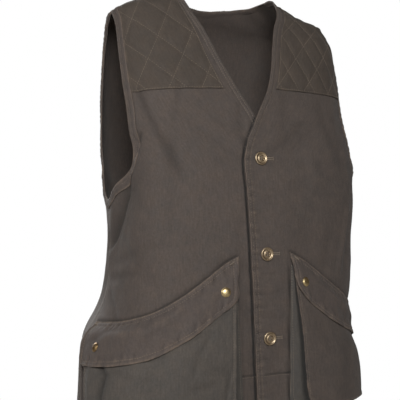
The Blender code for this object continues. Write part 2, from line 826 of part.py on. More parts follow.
def make_gusset(side, panel):
    """Folded strip that joins a pouch's sides and floor to its panel."""
    columns, rows = POUCH_GRID
    down = np.concatenate([np.linspace(0, 1, rows + 1), np.ones(columns - 1), np.linspace(1, 0, rows + 1)])
    along = np.concatenate([np.zeros(rows), np.linspace(0, 1, columns + 1), np.ones(rows)])
    seam_angle, seam_height = pouch_place(side, along, down, 0.0)
    top_angle, top_height = pouch_place(side, along, down, 1.0)
    toward = np.sign(0.5 - along) * (np.abs(along - 0.5) > 0.49)
    top_angle = top_angle + toward * GUSSET_TUCK / MEAN_RADIUS
    top_height = top_height + GUSSET_TUCK * (down > 0.99)
    seam, normals = on_panel(panel, seam_angle, seam_height, GUSSET_GAP)
    reach = stand_off(side, top_angle, top_height) - GUSSET_GAP
    top, _ = on_panel(panel, top_angle, top_height, reach)
    along_path = np.gradient(seam, axis=0)
    inward = panel.hand * np.cross(normals, along_path)
    inward /= np.linalg.norm(inward, axis=-1, keepdims=True)
    fold = BELLOWS_FOLD * np.linalg.norm(top - seam, axis=-1)
    points, faces_to = [], []
    for share in np.linspace(0.0, 1.0, GUSSET_COLUMNS + 1):
        tuck = fold * (1 - abs(2 * share - 1))
        points.append(seam * (1 - share) + top * share + inward * tuck[:, None])
        faces_to.append(-inward)
    grid = np.stack(points, axis=1)
    faces_to = np.stack(faces_to, axis=1)
    cloth("pocket_gusset_" + side, [(grid, faces_to)], GUSSET_WALL, 0, "gusset_canvas")


def corner_cut(from_end, reach, rise):
    """How far a rounded corner lifts the lower edge: a quarter of an oval."""
    inside = np.clip(1.0 - from_end / reach, 0.0, 1.0)
    return rise * (1.0 - np.sqrt(1.0 - inside**2))


def flap_depth(side, along):
    """Depth of a flap at a share of its width, less its taper and its two rounded lower corners."""
    reach, rise = FLAP_INNER_CORNER[side]
    inner = corner_cut(along * FLAP_WIDTH, reach, rise)
    outer = corner_cut((1 - along) * FLAP_WIDTH, FLAP_CORNER, FLAP_CORNER)
    taper = FLAP_TAPER[side] * ease((along - 0.10) / 0.40)
    return FLAP_DEPTH - taper - inner - outer


def flap_places(side):
    """Angles, heights and drops of a flap's grid, its lower corners rounded."""
    along, down = np.meshgrid(
        np.linspace(0.0, 1.0, FLAP_GRID[0] + 1),
        np.linspace(1.0, 0.0, FLAP_GRID[1] + 1),
    )
    inner = inner_angle(FLAP_INNER[side], -0.47)
    angle = inner + along * (math.radians(FLAP_OUTER) - inner)
    depth = flap_depth(side, along)
    return angle, flap_seam(angle) - down * depth, down * depth


def make_flap(side, panel):
    """Flap sewn along its top edge, hanging over the pouch."""
    angle, height, drop = flap_places(side)
    cover = stand_off(side, angle, height) + POUCH_WALL + FLAP_CLEAR
    gap = FLAP_LAY + (cover - FLAP_LAY) * ease(drop / FLAP_RISE_OVER)
    points, normals = on_panel(panel, angle, height, gap)
    cloth("pocket_flap_" + side, [(points, normals)], FLAP_WALL, 1, "trim_canvas")
    return points, normals


def flap_spot(flap, spot):
    """Point and normal on a flap's outer face at shares of its width and depth."""
    points, normals = flap
    column = spot[0] * FLAP_GRID[0]
    row = (1 - spot[1]) * FLAP_GRID[1]
    low, left = int(row), int(column)
    up, along = row - low, column - left
    found = []
    for grid in (points, normals):
        below = grid[low, left] * (1 - along) + grid[low, left + 1] * along
        above = grid[low + 1, left] * (1 - along) + grid[low + 1, left + 1] * along
        found.append(below * (1 - up) + above * up)
    across = grid_tangent(points, low, left, 1)
    upward = grid_tangent(points, low, left, 0)
    normal = np.cross(across, upward)
    normal *= np.sign(normal @ found[1]) / np.linalg.norm(normal)
    return found[0] + normal * FLAP_WALL, normal


def grid_tangent(points, row, column, way):
    """Direction along one side of a cell."""
    if way:
        return points[row, column + 1] - points[row, column]
    return points[row + 1, column] - points[row, column]


# Turned trims

def turned(name, profile, steps, finish):
    """A solid turned round its own Z axis from a profile of radius and height."""
    mesh = bpy.data.meshes.new(name)
    vertices = [(radius, 0.0, height) for radius, height in profile]
    mesh.from_pydata(vertices, [(i, i + 1) for i in range(len(vertices) - 1)], [])
    mesh.materials.append(material(name, finish))
    piece = bpy.data.objects.new(name, mesh)
    garment.objects.link(piece)
    screw = piece.modifiers.new("turn", "SCREW")
    screw.axis = "Z"
    screw.steps = steps
    screw.render_steps = steps
    screw.use_merge_vertices = True
    screw.merge_threshold = 0.00001
    screw.use_smooth_shade = True
    return piece


def set_on(piece, point, normal, gap):
    """Stand a turned trim on a face, its axis along the face's normal."""
    piece.location = Vector(point + normal * gap)
    piece.rotation_mode = "QUATERNION"
    piece.rotation_quaternion = Vector(normal).to_track_quat("Z", "X")


def make_snap(name, flap, spot):
    """Domed cap of a snap fastener."""
    profile = (
        (0.0, SNAP_DEPTH),
        (SNAP_RADIUS * 0.45, SNAP_DEPTH * 0.93),
        (SNAP_RADIUS * 0.80, SNAP_DEPTH * 0.66),
        (SNAP_RADIUS, SNAP_DEPTH * 0.25),
        (SNAP_RADIUS * 0.97, 0.0),
        (0.0, 0.0),
    )
    piece = turned(name, profile, SNAP_SIDES, "brass")
    point, normal = flap_spot(flap, spot)
    set_on(piece, point, normal, TRIM_GAP)


def make_button(name, panel, height):
    """Metal button with a raised rim, a sunk ring and four holes."""
    profile = (
        (0.0, 0.0023),
        (0.0042, 0.0023),
        (0.0050, 0.0017),
        (0.0074, 0.0019),
        (0.0086, 0.0032),
        (BUTTON_RADIUS, 0.0026),
        (0.0102, 0.0010),
        (0.0080, 0.0),
        (0.0, 0.0),
    )
    piece = turned(name, profile, BUTTON_SIDES, "brass")
    place = np.array([0.0, height])
    point, normal = panel.solve(place)
    set_on(piece, point, normal, TRIM_GAP)
    cutter = button_hole_cutter(name + "_holes")
    cutter.location = piece.location
    cutter.rotation_mode = "QUATERNION"
    cutter.rotation_quaternion = piece.rotation_quaternion
    cut = piece.modifiers.new("holes", "BOOLEAN")
    cut.object = cutter
    cut.operation = "DIFFERENCE"


def button_hole_cutter(name):
    """Four thin rods that cut a button's thread holes."""
    rods = bmesh.new()
    for x in (-BUTTON_HOLE_RING, BUTTON_HOLE_RING):
        for y in (-BUTTON_HOLE_RING, BUTTON_HOLE_RING):
            made = bmesh.ops.create_cone(
                rods, cap_ends=True, segments=6,
                radius1=BUTTON_HOLE, radius2=BUTTON_HOLE, depth=0.012,
            )
            bmesh.ops.translate(rods, verts=made["verts"], vec=(x, y, 0.001))
    mesh = bpy.data.meshes.new(name)
    rods.to_mesh(mesh)
    rods.free()
    cutter = bpy.data.objects.new(name, mesh)
    cutter.hide_render = True
    cutter.display_type = "WIRE"
    cutters.objects.link(cutter)
    return cutter


def build():
    """Make every piece."""
    panels = make_panels()
    back_strips = {"left": panels["back"].strips[0], "right": panels["back"].strips[1]}
    for side in ("right", "left"):
        panel = panels[side]
        make_armhole_band(side, panel.strips[0], back_strips[side])
        make_shoulder_patch(side, panel)
        make_pouch(side, panel)
        make_gusset(side, panel)
        flap = make_flap(side, panel)
        for place in (side + "_front", side + "_side"):
            make_snap("snap_" + place, flap, SNAP_SPOTS[place])
    for place, height in BUTTON_HEIGHTS.items():
        make_button("button_" + place, panels["left"], height)


for old in list(bpy.data.objects):
    bpy.data.objects.remove(old)
garment = bpy.data.collections.new("canvas_gilet")
cutters = bpy.data.collections.new("cutters")
bpy.context.scene.collection.children.link(garment)
bpy.context.scene.collection.children.link(cutters)
build()
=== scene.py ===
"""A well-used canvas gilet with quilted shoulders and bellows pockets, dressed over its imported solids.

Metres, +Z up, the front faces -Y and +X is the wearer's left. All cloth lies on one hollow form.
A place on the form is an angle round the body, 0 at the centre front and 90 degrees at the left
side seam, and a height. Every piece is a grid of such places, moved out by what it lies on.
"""

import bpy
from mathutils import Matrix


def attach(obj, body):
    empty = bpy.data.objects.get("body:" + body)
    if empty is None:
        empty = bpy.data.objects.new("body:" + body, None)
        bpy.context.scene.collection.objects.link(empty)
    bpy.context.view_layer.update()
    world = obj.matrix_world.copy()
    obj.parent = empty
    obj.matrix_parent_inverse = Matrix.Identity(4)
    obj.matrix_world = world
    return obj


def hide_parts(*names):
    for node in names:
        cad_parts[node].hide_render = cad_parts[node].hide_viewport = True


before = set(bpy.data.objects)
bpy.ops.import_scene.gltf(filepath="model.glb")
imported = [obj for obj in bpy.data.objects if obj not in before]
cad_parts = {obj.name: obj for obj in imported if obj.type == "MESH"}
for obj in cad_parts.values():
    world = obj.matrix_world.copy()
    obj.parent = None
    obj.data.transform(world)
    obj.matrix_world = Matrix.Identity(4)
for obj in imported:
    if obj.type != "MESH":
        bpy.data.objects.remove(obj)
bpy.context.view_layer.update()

import math

import bmesh
import bpy
import numpy as np
from mathutils import Matrix, Vector

# Heights of the cut, and the width of the armhole bands
HEM = -0.700
ARMHOLE_FOOT = -0.350
YOKE_INNER = -0.181
YOKE_OUTER = -0.187
SHOULDER_TIP = -0.045
ARMHOLE_BAND = 0.014

# Lap of the left front over the right one: its lift, how far out from the centre the lift stays
# full, and over what distance it then fades
LAP_RISE = 0.0034
LAP_FLAT = 0.030
LAP_FADE = 0.060

# Walls of the cloth
PANEL_WALL = 0.0015
EDGE_WALL = 0.0024
BAND_WALL = 0.0013
PATCH_WALL = 0.0014
POUCH_WALL = 0.0015
GUSSET_WALL = 0.0011
FLAP_WALL = 0.0019

# Widths over which a panel has its edge wall, and the gaps at which cloth lies on a panel
EDGE_THICK = 0.010
HEM_THICK = 0.012
LAY_GAP = 0.0004
FLAP_LAY = 0.0006

# Grooves pressed into a front, and the lift of the edge that laps over
LAP_GROOVE = 0.0034
FLAP_GROOVE = 0.0022
EDGE_LIFT = 0.0018

# Painted shading and wear: darkness painted as shade into fold hollows and pucker troughs for each
# metre of depth, which also makes ridges and pucker crests paler, as rubbed and as a painted
# highlight; darkness of the painted shadow beside a pocket's inner seam; and the share of the rubbed
# edge that is lost beside the neck
FOLD_PAINTED_SHADING = 110.0
PUCKER_PAINTED_SHADING = 330.0
POCKET_SHADE = {"right": 0.4, "left": 0.9}
NECK_FADE = {"right": 0.75, "left": 0.30}

# Level sections of the form: height, half width, depth ahead of and behind the side line. Above
# the top level the form's normals are those at that level.
SECTIONS = np.array([
    (-0.740, 0.222, 0.160, 0.152),
    (-0.620, 0.214, 0.158, 0.150),
    (-0.520, 0.206, 0.156, 0.138),
    (-0.420, 0.202, 0.152, 0.124),
    (-0.350, 0.204, 0.147, 0.128),
    (-0.280, 0.203, 0.138, 0.133),
    (-0.200, 0.201, 0.119, 0.132),
    (-0.130, 0.199, 0.098, 0.121),
    (-0.080, 0.195, 0.079, 0.107),
    (-0.060, 0.193, 0.068, 0.098),
    (-0.045, 0.187, 0.060, 0.088),
    (-0.033, 0.160, 0.052, 0.077),
    (-0.018, 0.122, 0.044, 0.066),
    (0.000, 0.086, 0.036, 0.056),
])
TOP_LEVEL = -0.003
SIDE_LINE = 0.006
SQUARENESS = 0.06
MEAN_RADIUS = 0.185

# The lower left shoulder: its drop, and how far out from the centre it is full and it has ended
SHOULDER_DROP = 0.016
SHOULDER_FULL = 0.135
SHOULDER_END = 0.230

# Broad swells: angle, height, reach round, reach up, reach down, rise
SWELLS = (
    (-94, -0.585, 44, 0.055, 0.30, 0.036),
    (-112, -0.370, 36, 0.080, 0.080, -0.006),
    (78, -0.585, 44, 0.060, 0.300, -0.037),
    (75, -0.300, 36, 0.045, 0.100, 0.018),
    (180, -0.590, 55, 0.110, 0.200, 0.010),
    (180, -0.420, 50, 0.090, 0.080, -0.006),
    (82, -0.052, 30, 0.035, 0.028, -0.011),
)

# Main creases: from angle and height, to angle and height, half width, rise
CREASES = (
    (-58, -0.275, -66, -0.345, 0.027, -0.006),
    (-66, -0.345, -80, -0.415, 0.027, -0.006),
    (-84, -0.375, -92, -0.450, 0.018, 0.004),
    (-53, -0.212, -37, -0.305, 0.018, -0.0025),
    (-70, -0.440, -50, -0.480, 0.016, -0.003),
    (60, -0.290, 70, -0.350, 0.026, -0.005),
    (70, -0.350, 82, -0.430, 0.026, -0.005),
    (52, -0.215, 40, -0.290, 0.017, -0.002),
    (-28, -0.250, -10, -0.292, 0.014, -0.0018),
    (24, -0.250, 9, -0.290, 0.013, -0.0018),
    (100, -0.400, 106, -0.640, 0.022, -0.006),
    (-101, -0.420, -108, -0.640, 0.024, -0.007),
    (128, -0.330, 136, -0.560, 0.026, 0.006),
    (-130, -0.350, -140, -0.600, 0.026, 0.006),
    (150, -0.400, 200, -0.425, 0.018, -0.005),
    (168, -0.440, 215, -0.475, 0.017, -0.004),
    (152, -0.480, 160, -0.670, 0.024, -0.005),
    (205, -0.500, 200, -0.670, 0.026, -0.005),
    (140, -0.160, 165, -0.240, 0.020, -0.003),
    (-140, -0.160, -162, -0.250, 0.020, -0.003),
)

# Finer folds that only the cloth shows: rise, half width on the left and on the right of a path,
# then the path's places as angle and height
FOLDS = (
    (-0.0062, 0.0045, 0.0140,
     (-57, -0.268), (-67.5, -0.318), (-71, -0.347), (-75.5, -0.375), (-85, -0.414)),
    (0.0018, 0.0110, 0.0040, (-53, -0.279), (-63.5, -0.321), (-66, -0.361), (-77.5, -0.414)),
    (-0.0034, 0.0080, 0.0080, (-52, -0.198), (-47, -0.229), (-42, -0.256), (-36, -0.282), (-33, -0.306)),
    (0.0009, 0.0080, 0.0080, (-49, -0.219), (-44.5, -0.263), (-41, -0.294)),
    (-0.0013, 0.0060, 0.0060, (-29, -0.186), (-31.5, -0.222)),
    (0.0009, 0.0090, 0.0090, (-45.5, -0.339), (-48, -0.401)),
    (-0.0010, 0.0090, 0.0090, (-34.5, -0.241), (-37.5, -0.325), (-38.5, -0.399)),
    (-0.0014, 0.0045, 0.0070, (-5, -0.214), (-5.5, -0.246), (-4.5, -0.270)),
    (-0.0010, 0.0060, 0.0060, (-9, -0.394), (-9, -0.461)),
    (-0.0010, 0.0060, 0.0060, (-10, -0.484), (-9.5, -0.560)),
    (-0.0020, 0.0040, 0.0080, (-84, -0.498), (-71.5, -0.533)),
    (-0.0016, 0.0070, 0.0090, (-82, -0.474), (-65.5, -0.466)),
    (-0.0010, 0.0080, 0.0080, (-77, -0.448), (-56.5, -0.429), (-44, -0.422)),
    (-0.0010, 0.0055, 0.0055, (-26, -0.236), (-8, -0.288)),
    (0.0008, 0.0050, 0.0050, (-20, -0.222), (-6, -0.268)),
    (-0.0012, 0.0070, 0.0070, (-16, -0.450), (-4, -0.560)),
    (-0.0010, 0.0055, 0.0055, (20, -0.238), (5, -0.282)),
    (0.0011, 0.0100, 0.0100, (21.5, -0.296), (23.5, -0.323), (19, -0.358)),
    (-0.0009, 0.0100, 0.0100, (13.5, -0.196), (11, -0.247)),
    (-0.0014, 0.0100, 0.0100, (32.5, -0.213), (35.5, -0.253), (40, -0.294)),
    (0.0034, 0.0080, 0.0050, (44.5, -0.380), (40.5, -0.423), (36, -0.464)),
    (-0.0016, 0.0060, 0.0060, (48, -0.383), (44.5, -0.423), (40.5, -0.462)),
    (-0.0014, 0.0080, 0.0080, (29.5, -0.418), (26.5, -0.452)),
    (-0.0016, 0.0090, 0.0090, (50, -0.310), (64, -0.380)),
    (-0.0018, 0.0080, 0.0080, (64, -0.262), (58, -0.330)),
    (-0.0014, 0.0090, 0.0090, (80, -0.440), (60, -0.470)),
    (0.0012, 0.0040, 0.0045, (-1.5, -0.583), (4.5, -0.610)),
    (-0.0010, 0.0040, 0.0040, (-2, -0.592), (4, -0.620)),
    (-0.0007, 0.0035, 0.0035, (-3, -0.535), (3.5, -0.537)),
    (0.0012, 0.0070, 0.0070, (6, -0.595), (9, -0.690)),
    (-0.0012, 0.0070, 0.0070, (-5, -0.590), (-7, -0.690)),
    (-0.0008, 0.0026, 0.0034, (-6.5, -0.352), (-1, -0.356), (3, -0.353)),
    (-0.0007, 0.0028, 0.0028, (-6.5, -0.391), (-2, -0.398)),
    (-0.0009, 0.0028, 0.0036, (-5, -0.462), (0, -0.470), (4, -0.469)),
    (0.0006, 0.0040, 0.0040, (-5, -0.478), (2, -0.486)),
    (-0.0009, 0.0026, 0.0034, (-6, -0.497), (0, -0.501), (4, -0.497)),
    (-0.0008, 0.0028, 0.0028, (-6, -0.524), (-1, -0.519)),
    (-0.0009, 0.0030, 0.0036, (1, -0.583), (6, -0.596)),
    (-0.0010, 0.0030, 0.0036, (-5, -0.603), (0, -0.597), (3, -0.606)),
    (-0.0020, 0.0100, 0.0100, (118, -0.300), (134, -0.322), (150, -0.352)),
    (0.0016, 0.0100, 0.0100, (112, -0.340), (140, -0.385)),
    (-0.0020, 0.0100, 0.0100, (-116, -0.300), (-133, -0.322), (-150, -0.350)),
    (0.0016, 0.0100, 0.0100, (-110, -0.345), (-138, -0.390)),
    (-0.0018, 0.0080, 0.0110, (160, -0.372), (178, -0.386), (196, -0.392)),
    (0.0014, 0.0090, 0.0090, (172, -0.455), (206, -0.470)),
    (-0.0022, 0.0080, 0.0120, (138, -0.560), (144, -0.630), (146, -0.695)),
    (-0.0022, 0.0120, 0.0080, (-138, -0.560), (-146, -0.630), (-150, -0.695)),
    (0.0014, 0.0110, 0.0110, (176, -0.500), (181, -0.600), (180, -0.690)),
)

# Front edge and neckline: height, distance from the centre front on the right and left front
FRONT_EDGE = np.array([
    (HEM, -0.022, -0.022),
    (-0.600, -0.024, -0.024),
    (-0.430, -0.026, -0.026),
    (-0.340, -0.027, -0.027),
    (-0.295, -0.027, -0.027),
    (-0.268, -0.020, -0.020),
    (-0.243, -0.009, -0.007),
    (-0.219, 0.002, 0.006),
    (-0.183, 0.021, 0.027),
    (-0.150, 0.037, 0.039),
    (-0.115, 0.051, 0.048),
    (-0.076, 0.065, 0.061),
    (-0.037, 0.081, 0.080),
    (-0.014, 0.0865, 0.0865),
    (0.000, 0.086, 0.086),
])

# Width of cloth between the neckline and a shoulder patch: height, on the right and left front
NECK_MARGINS = np.array([
    (-0.181, 0.024, 0.0148),
    (-0.050, 0.0135, 0.0148),
])

# Armholes from shoulder tip to foot: height, distance from the side line
ARMHOLE_AHEAD = (
    (SHOULDER_TIP, 0.000),
    (-0.062, 0.018),
    (-0.090, 0.030),
    (-0.120, 0.040),
    (-0.160, 0.052),
    (-0.200, 0.063),
    (-0.245, 0.073),
    (-0.280, 0.076),
    (-0.301, 0.071),
    (-0.316, 0.056),
    (-0.333, 0.027),
    (-0.346, 0.009),
    (ARMHOLE_FOOT, 0.000),
)
ARMHOLE_BEHIND = (
    (SHOULDER_TIP, 0.000),
    (-0.062, 0.016),
    (-0.090, 0.026),
    (-0.130, 0.036),
    (-0.180, 0.046),
    (-0.235, 0.054),
    (-0.280, 0.055),
    (-0.312, 0.050),
    (-0.337, 0.036),
    (-0.348, 0.016),
    (ARMHOLE_FOOT, 0.000),
)

# Back neckline: distance out from the centre, height
BACK_NECK = np.array([
    (-0.030, -0.016),
    (0.000, -0.018),
    (0.030, -0.016),
    (0.055, -0.009),
    (0.077, -0.003),
    (0.086, 0.000),
])

# Sewn top edge of a pocket flap: angle, height
FLAP_SEAM = np.array([
    (8.0, -0.436),
    (16.0, -0.453),
    (23.0, -0.473),
    (30.0, -0.491),
    (38.0, -0.507),
    (46.0, -0.519),
    (61.0, -0.533),
    (90.0, -0.545),
])

# Flaps: size, reach and rise of the lower corners' rounding, and what the depth loses by its taper
FLAP_DEPTH = 0.066
FLAP_WIDTH = 0.250
FLAP_CORNER = 0.014
FLAP_INNER_CORNER = {"right": (0.014, 0.014), "left": (0.024, 0.034)}
FLAP_TAPER = {"right": 0.0, "left": 0.011}

# Inner end of a flap: distances from the centre front at its seam and foot, and their level.
# Outer end: angle. Then its gap over the pouch, and the drop in which it rises off the panel.
FLAP_INNER = {"right": (0.0455, 0.0515), "left": (0.0390, 0.0420)}
FLAP_LEVEL = -0.470
FLAP_OUTER = 86.0
FLAP_CLEAR = 0.0014
FLAP_RISE_OVER = 0.022

# Bellows of a pocket, down from its mouth: share of the way, stand-off, inset
BELLOWS = np.array([
    (0.00, 0.0045, 0.002),
    (0.20, 0.0140, 0.004),
    (0.45, 0.0255, 0.007),
    (0.75, 0.0310, 0.010),
    (1.00, 0.0330, 0.012),
])

# Pockets: distances of the inner seam from the centre front at top and floor, angle of the outer
# seam, heights of top and floor, drop of the mouth below the flap's seam, radius of the lower
# corners, and size of the pouch
POCKET_INNER = {"right": (0.0500, 0.0460), "left": (0.0405, 0.0330)}
POCKET_OUTER = 83.0
POCKET_TOP = -0.454
POCKET_FLOOR = -0.684
POCKET_MOUTH = 0.018
POCKET_CORNER = 0.026
POCKET_WIDTH = 0.245
POUCH_DROP = 0.190

# Swell of a pouch's middle, and its least stand-off
POCKET_BELLY = 0.004
POCKET_LAY = 0.0041

# Gussets: depth of the fold as a share of its reach, gap to the panel and to the pouch, and how
# far inside the pouch's edge they end
BELLOWS_FOLD = 0.20
GUSSET_GAP = 0.0007
GUSSET_INSET = 0.0006

# Share of the stand-off at the inner seam, what is added midway, and share at the outer seam
STAND_SHARES = {"right": (0.24, 0.50, 0.22), "left": (0.66, 0.25, 0.20)}

# Diamond quilting, two families of lines a side: slope in degrees, spacing, offset of one line
QUILTING = {
    "right": ((40.0, 0.0417, -0.1657), (-62.0, 0.0452, 0.0772)),
    "left": ((48.0, 0.0402, -0.1531), (-65.0, 0.0286, 0.0305)),
}
QUILT_GROOVE = 0.0046
QUILT_RISE = 0.0012

# Seams: pitch of the stitches, distances of their rows from the edges that they run along, shares
# of a band's width, and heights of the hem's two rows
STITCH_PITCH = 0.0040
EDGE_SEAMS = (0.0040, 0.0092)
POUCH_SEAM = 0.0035
FLAP_SEAMS = (0.0022, 0.0082)
FLAP_RIM_SEAM = 0.0065
BAND_SEAMS = (0.10, 0.60)
HEM_SEAM = HEM + 0.0105
HEM_TURN = -0.622

# Rolls and furrows beside an edge: distance from the edge, half width, rise
EDGE_RELIEF = (
    (0.0066, 0.0022, 0.0006),
    (0.0020, 0.0014, 0.0005),
    (EDGE_SEAMS[0], 0.0010, -0.0004),
    (EDGE_SEAMS[1], 0.0014, -0.0006),
)
BAND_RELIEF = (
    (0.0045, 0.0025, 0.0005),
    (0.0014, 0.0009, -0.0003),
    (0.0084, 0.0012, -0.0005),
    (ARMHOLE_BAND, 0.0012, -0.0006),
    (0.0112, 0.0016, 0.0004),
)
POUCH_RELIEF = (
    (POUCH_SEAM, 0.0014, -0.0005),
    (0.0012, 0.0012, 0.0004),
)
FLAP_TOP_RELIEF = (
    (FLAP_SEAMS[0], 0.0012, -0.0005),
    (FLAP_SEAMS[1], 0.0012, -0.0005),
)
FLAP_RIM_RELIEF = (
    (0.0030, 0.0020, 0.0004),
    (FLAP_RIM_SEAM, 0.0012, -0.0005),
)

# Grids: levels of the rows below the armholes, and count of the rows above
LOW_LEVELS = np.linspace(HEM, ARMHOLE_FOOT - ARMHOLE_BAND, 123)
HIGH_ROWS = 122

# Columns of the fronts: close ones as far as the stitching of the edge, then even runs, each with
# its start, end and count. A run without an end goes on to the side. The right front, -1, has a
# closer run under the edge that laps over it.
CLOSE_COLUMNS = np.array([
    0.0, 0.0006, 0.0016, 0.0028, 0.0040, 0.0052, 0.0066, 0.0080, 0.0092, 0.0104, 0.0122, 0.0150, 0.0185,
])
FRONT_RUNS = {
    1: ((0.0225, None, 70),),
    -1: ((0.0225, 0.0435, 8), (0.0450, 0.0600, 16), (0.0630, None, 54)),
}
FRONT_WIDTH = 0.240

# Columns of the other pieces, as counts or as shares of a width, and rows and columns of a patch
SHOULDER_COLUMNS = 34
NECK_COLUMNS = 20
STRIP_SHARES = np.linspace(0.0, 1.0, 6)
BAND_SHARES = np.array([0.0, 0.04, 0.10, 0.17, 0.27, 0.38, 0.50, 0.60, 0.70, 0.82, 0.92, 0.97, 1.0])
GUSSET_SHARES = np.array([
    0.0, 0.06, 0.14, 0.24, 0.34, 0.43, 0.48, 0.50, 0.52, 0.57, 0.66, 0.76, 0.86, 0.94, 1.0,
])
PATCH_ROWS = 96

# Metal trims: heights of the buttons, places of the snaps as shares of a flap's width and depth,
# and the profiles as radius and height
BUTTON_HEIGHTS = {"top": -0.293, "middle": -0.439, "bottom": -0.566}
BUTTON_HOLE = 0.0019
BUTTONHOLE = (-0.0035, 0.0215)
SNAP_SPOTS = {
    "right_front": (0.068, 0.60),
    "right_side": (0.826, 0.60),
    "left_front": (0.054, 0.583),
    "left_side": (0.828, 0.57),
}
AXIS = 1e-7
BUTTON_RING = (
    (0.0040, 0.0023),
    (0.0046, 0.0021),
    (0.0052, 0.00165),
    (0.0066, 0.00165),
    (0.0076, 0.0021),
    (0.0084, 0.0030),
    (0.0092, 0.0032),
    (0.0101, 0.0028),
    (0.0105, 0.0020),
    (0.0104, 0.0011),
    (0.0096, 0.0004),
    (0.0080, 0.0),
)
SNAP_PROFILE = (
    (AXIS, 0.0031),
    (0.0025, 0.0029),
    (0.0045, 0.0024),
    (0.0058, 0.0017),
    (0.0063, 0.0012),
    (0.0069, 0.0010),
    (0.0073, 0.0006),
    (0.0071, 0.0001),
    (0.0040, 0.0),
    (AXIS, 0.0),
)
HANDS = {"right": -1, "left": 1}


# Curves and vectors

def smooth(table, column, at):
    """Read a column of a table, whose first column rises, by a cubic through its rows.

    Between two rows the value is a Hermite cubic. The slope at a row is the mean of the slopes
    on its two sides, each weighted by the length of the other side.
    """
    places = table[:, 0]
    values = table[:, column]
    steps = np.diff(places)
    slopes = np.diff(values) / steps
    inner = (slopes[:-1] * steps[1:] + slopes[1:] * steps[:-1]) / (steps[:-1] + steps[1:])
    tangents = np.concatenate([slopes[:1], inner, slopes[-1:]])
    row = np.clip(np.searchsorted(places, at) - 1, 0, len(places) - 2)
    t = (at - places[row]) / steps[row]
    start = (2 * t**3 - 3 * t**2 + 1) * values[row]
    leave = (t**3 - 2 * t**2 + t) * steps[row] * tangents[row]
    end = (3 * t**2 - 2 * t**3) * values[row + 1]
    arrive = (t**3 - t**2) * steps[row] * tangents[row + 1]
    return start + leave + end + arrive


def ease(share):
    """Go from 0 to 1 with level ends: 3 t squared less 2 t cubed."""
    share = np.clip(share, 0.0, 1.0)
    return share * share * (3.0 - 2.0 * share)


def near_line(distance, width):
    """1 on a line and 0 away from it: a bell curve of the distance."""
    return np.exp(-((distance / width) ** 2))


def relief(distance, rows):
    """Rolls and furrows beside an edge: a bell curve round each row's own distance."""
    return sum(rise * near_line(distance - place, width) for place, width, rise in rows)


def unit(vectors):
    """The vectors at length 1."""
    return vectors / np.maximum(np.linalg.norm(vectors, axis=-1, keepdims=True), 1e-12)


def moved(points, normals, rise):
    """Points carried along their normals."""
    return points + normals * np.asarray(rise)[..., None]


def nearest(values, wanted):
    """Number of the value nearest to the one wanted."""
    return int(np.argmin(np.abs(values - wanted)))


def denser_at_ends(count):
    """Shares from 0 to 1, closer together at both ends: t less a part of its sine wave."""
    t = np.linspace(0.0, 1.0, count)
    return t - 0.75 * np.sin(2 * math.pi * t) / (2 * math.pi)


# The form

def across_share(angle):
    """Share of the half width at an angle: sine plus a little sine of three times the angle."""
    return (np.sin(angle) + SQUARENESS * np.sin(3 * angle)) / (1 - SQUARENESS)


def ahead_share(angle):
    """Share of the depth at an angle: cosine less a little cosine of three times the angle."""
    return (np.cos(angle) - SQUARENESS * np.cos(3 * angle)) / (1 - SQUARENESS)


QUARTER = np.linspace(0.0, math.pi / 2, 721)
QUARTER_TURN = np.arctan2(across_share(QUARTER), ahead_share(QUARTER))


def angle_from_across(share):
    """Angle on the front half whose share of the half width is given."""
    return np.sign(share) * np.interp(np.abs(share), across_share(QUARTER), QUARTER)


def angle_from_ahead(share):
    """Angle between the centre front and the side whose share of the depth is given."""
    return np.interp(share, ahead_share(QUARTER)[::-1], QUARTER[::-1])


def angle_at(distance, height):
    """Angle at a distance out from the centre front."""
    return angle_from_across(distance / smooth(SECTIONS, 1, height))


def angle_of_point(point, behind):
    """Angle at which a level line from the middle through a point leaves the form."""
    half_width = smooth(SECTIONS, 1, point[..., 2])
    depth = smooth(SECTIONS, 3 if behind else 2, point[..., 2])
    across = np.abs(point[..., 0]) / half_width
    ahead = np.abs(point[..., 1] - SIDE_LINE) / depth
    angle = np.interp(np.arctan2(across, ahead), QUARTER_TURN, QUARTER)
    if behind:
        angle = math.pi - angle
    return np.where(point[..., 0] < 0, -angle, angle)


def turn_between(angle, reference):
    """Signed turn from a reference angle, never more than half a round."""
    return (angle - reference + math.pi) % (2 * math.pi) - math.pi


def crease_rise(angle, height, rows):
    """Sum of ridges and valleys, each a bell curve of the distance to its own short line."""
    rise = np.zeros(np.broadcast(angle, height).shape)
    for from_angle, from_height, to_angle, to_height, half_width, crease in rows:
        run = np.array([
            MEAN_RADIUS * turn_between(math.radians(to_angle), math.radians(from_angle)),
            to_height - from_height,
        ])
        across = MEAN_RADIUS * turn_between(angle, math.radians(from_angle))
        up = height - from_height
        share = np.clip((across * run[0] + up * run[1]) / (run @ run), 0.0, 1.0)
        distance = np.hypot(across - share * run[0], up - share * run[1])
        rise = rise + crease * near_line(distance, half_width)
    return rise


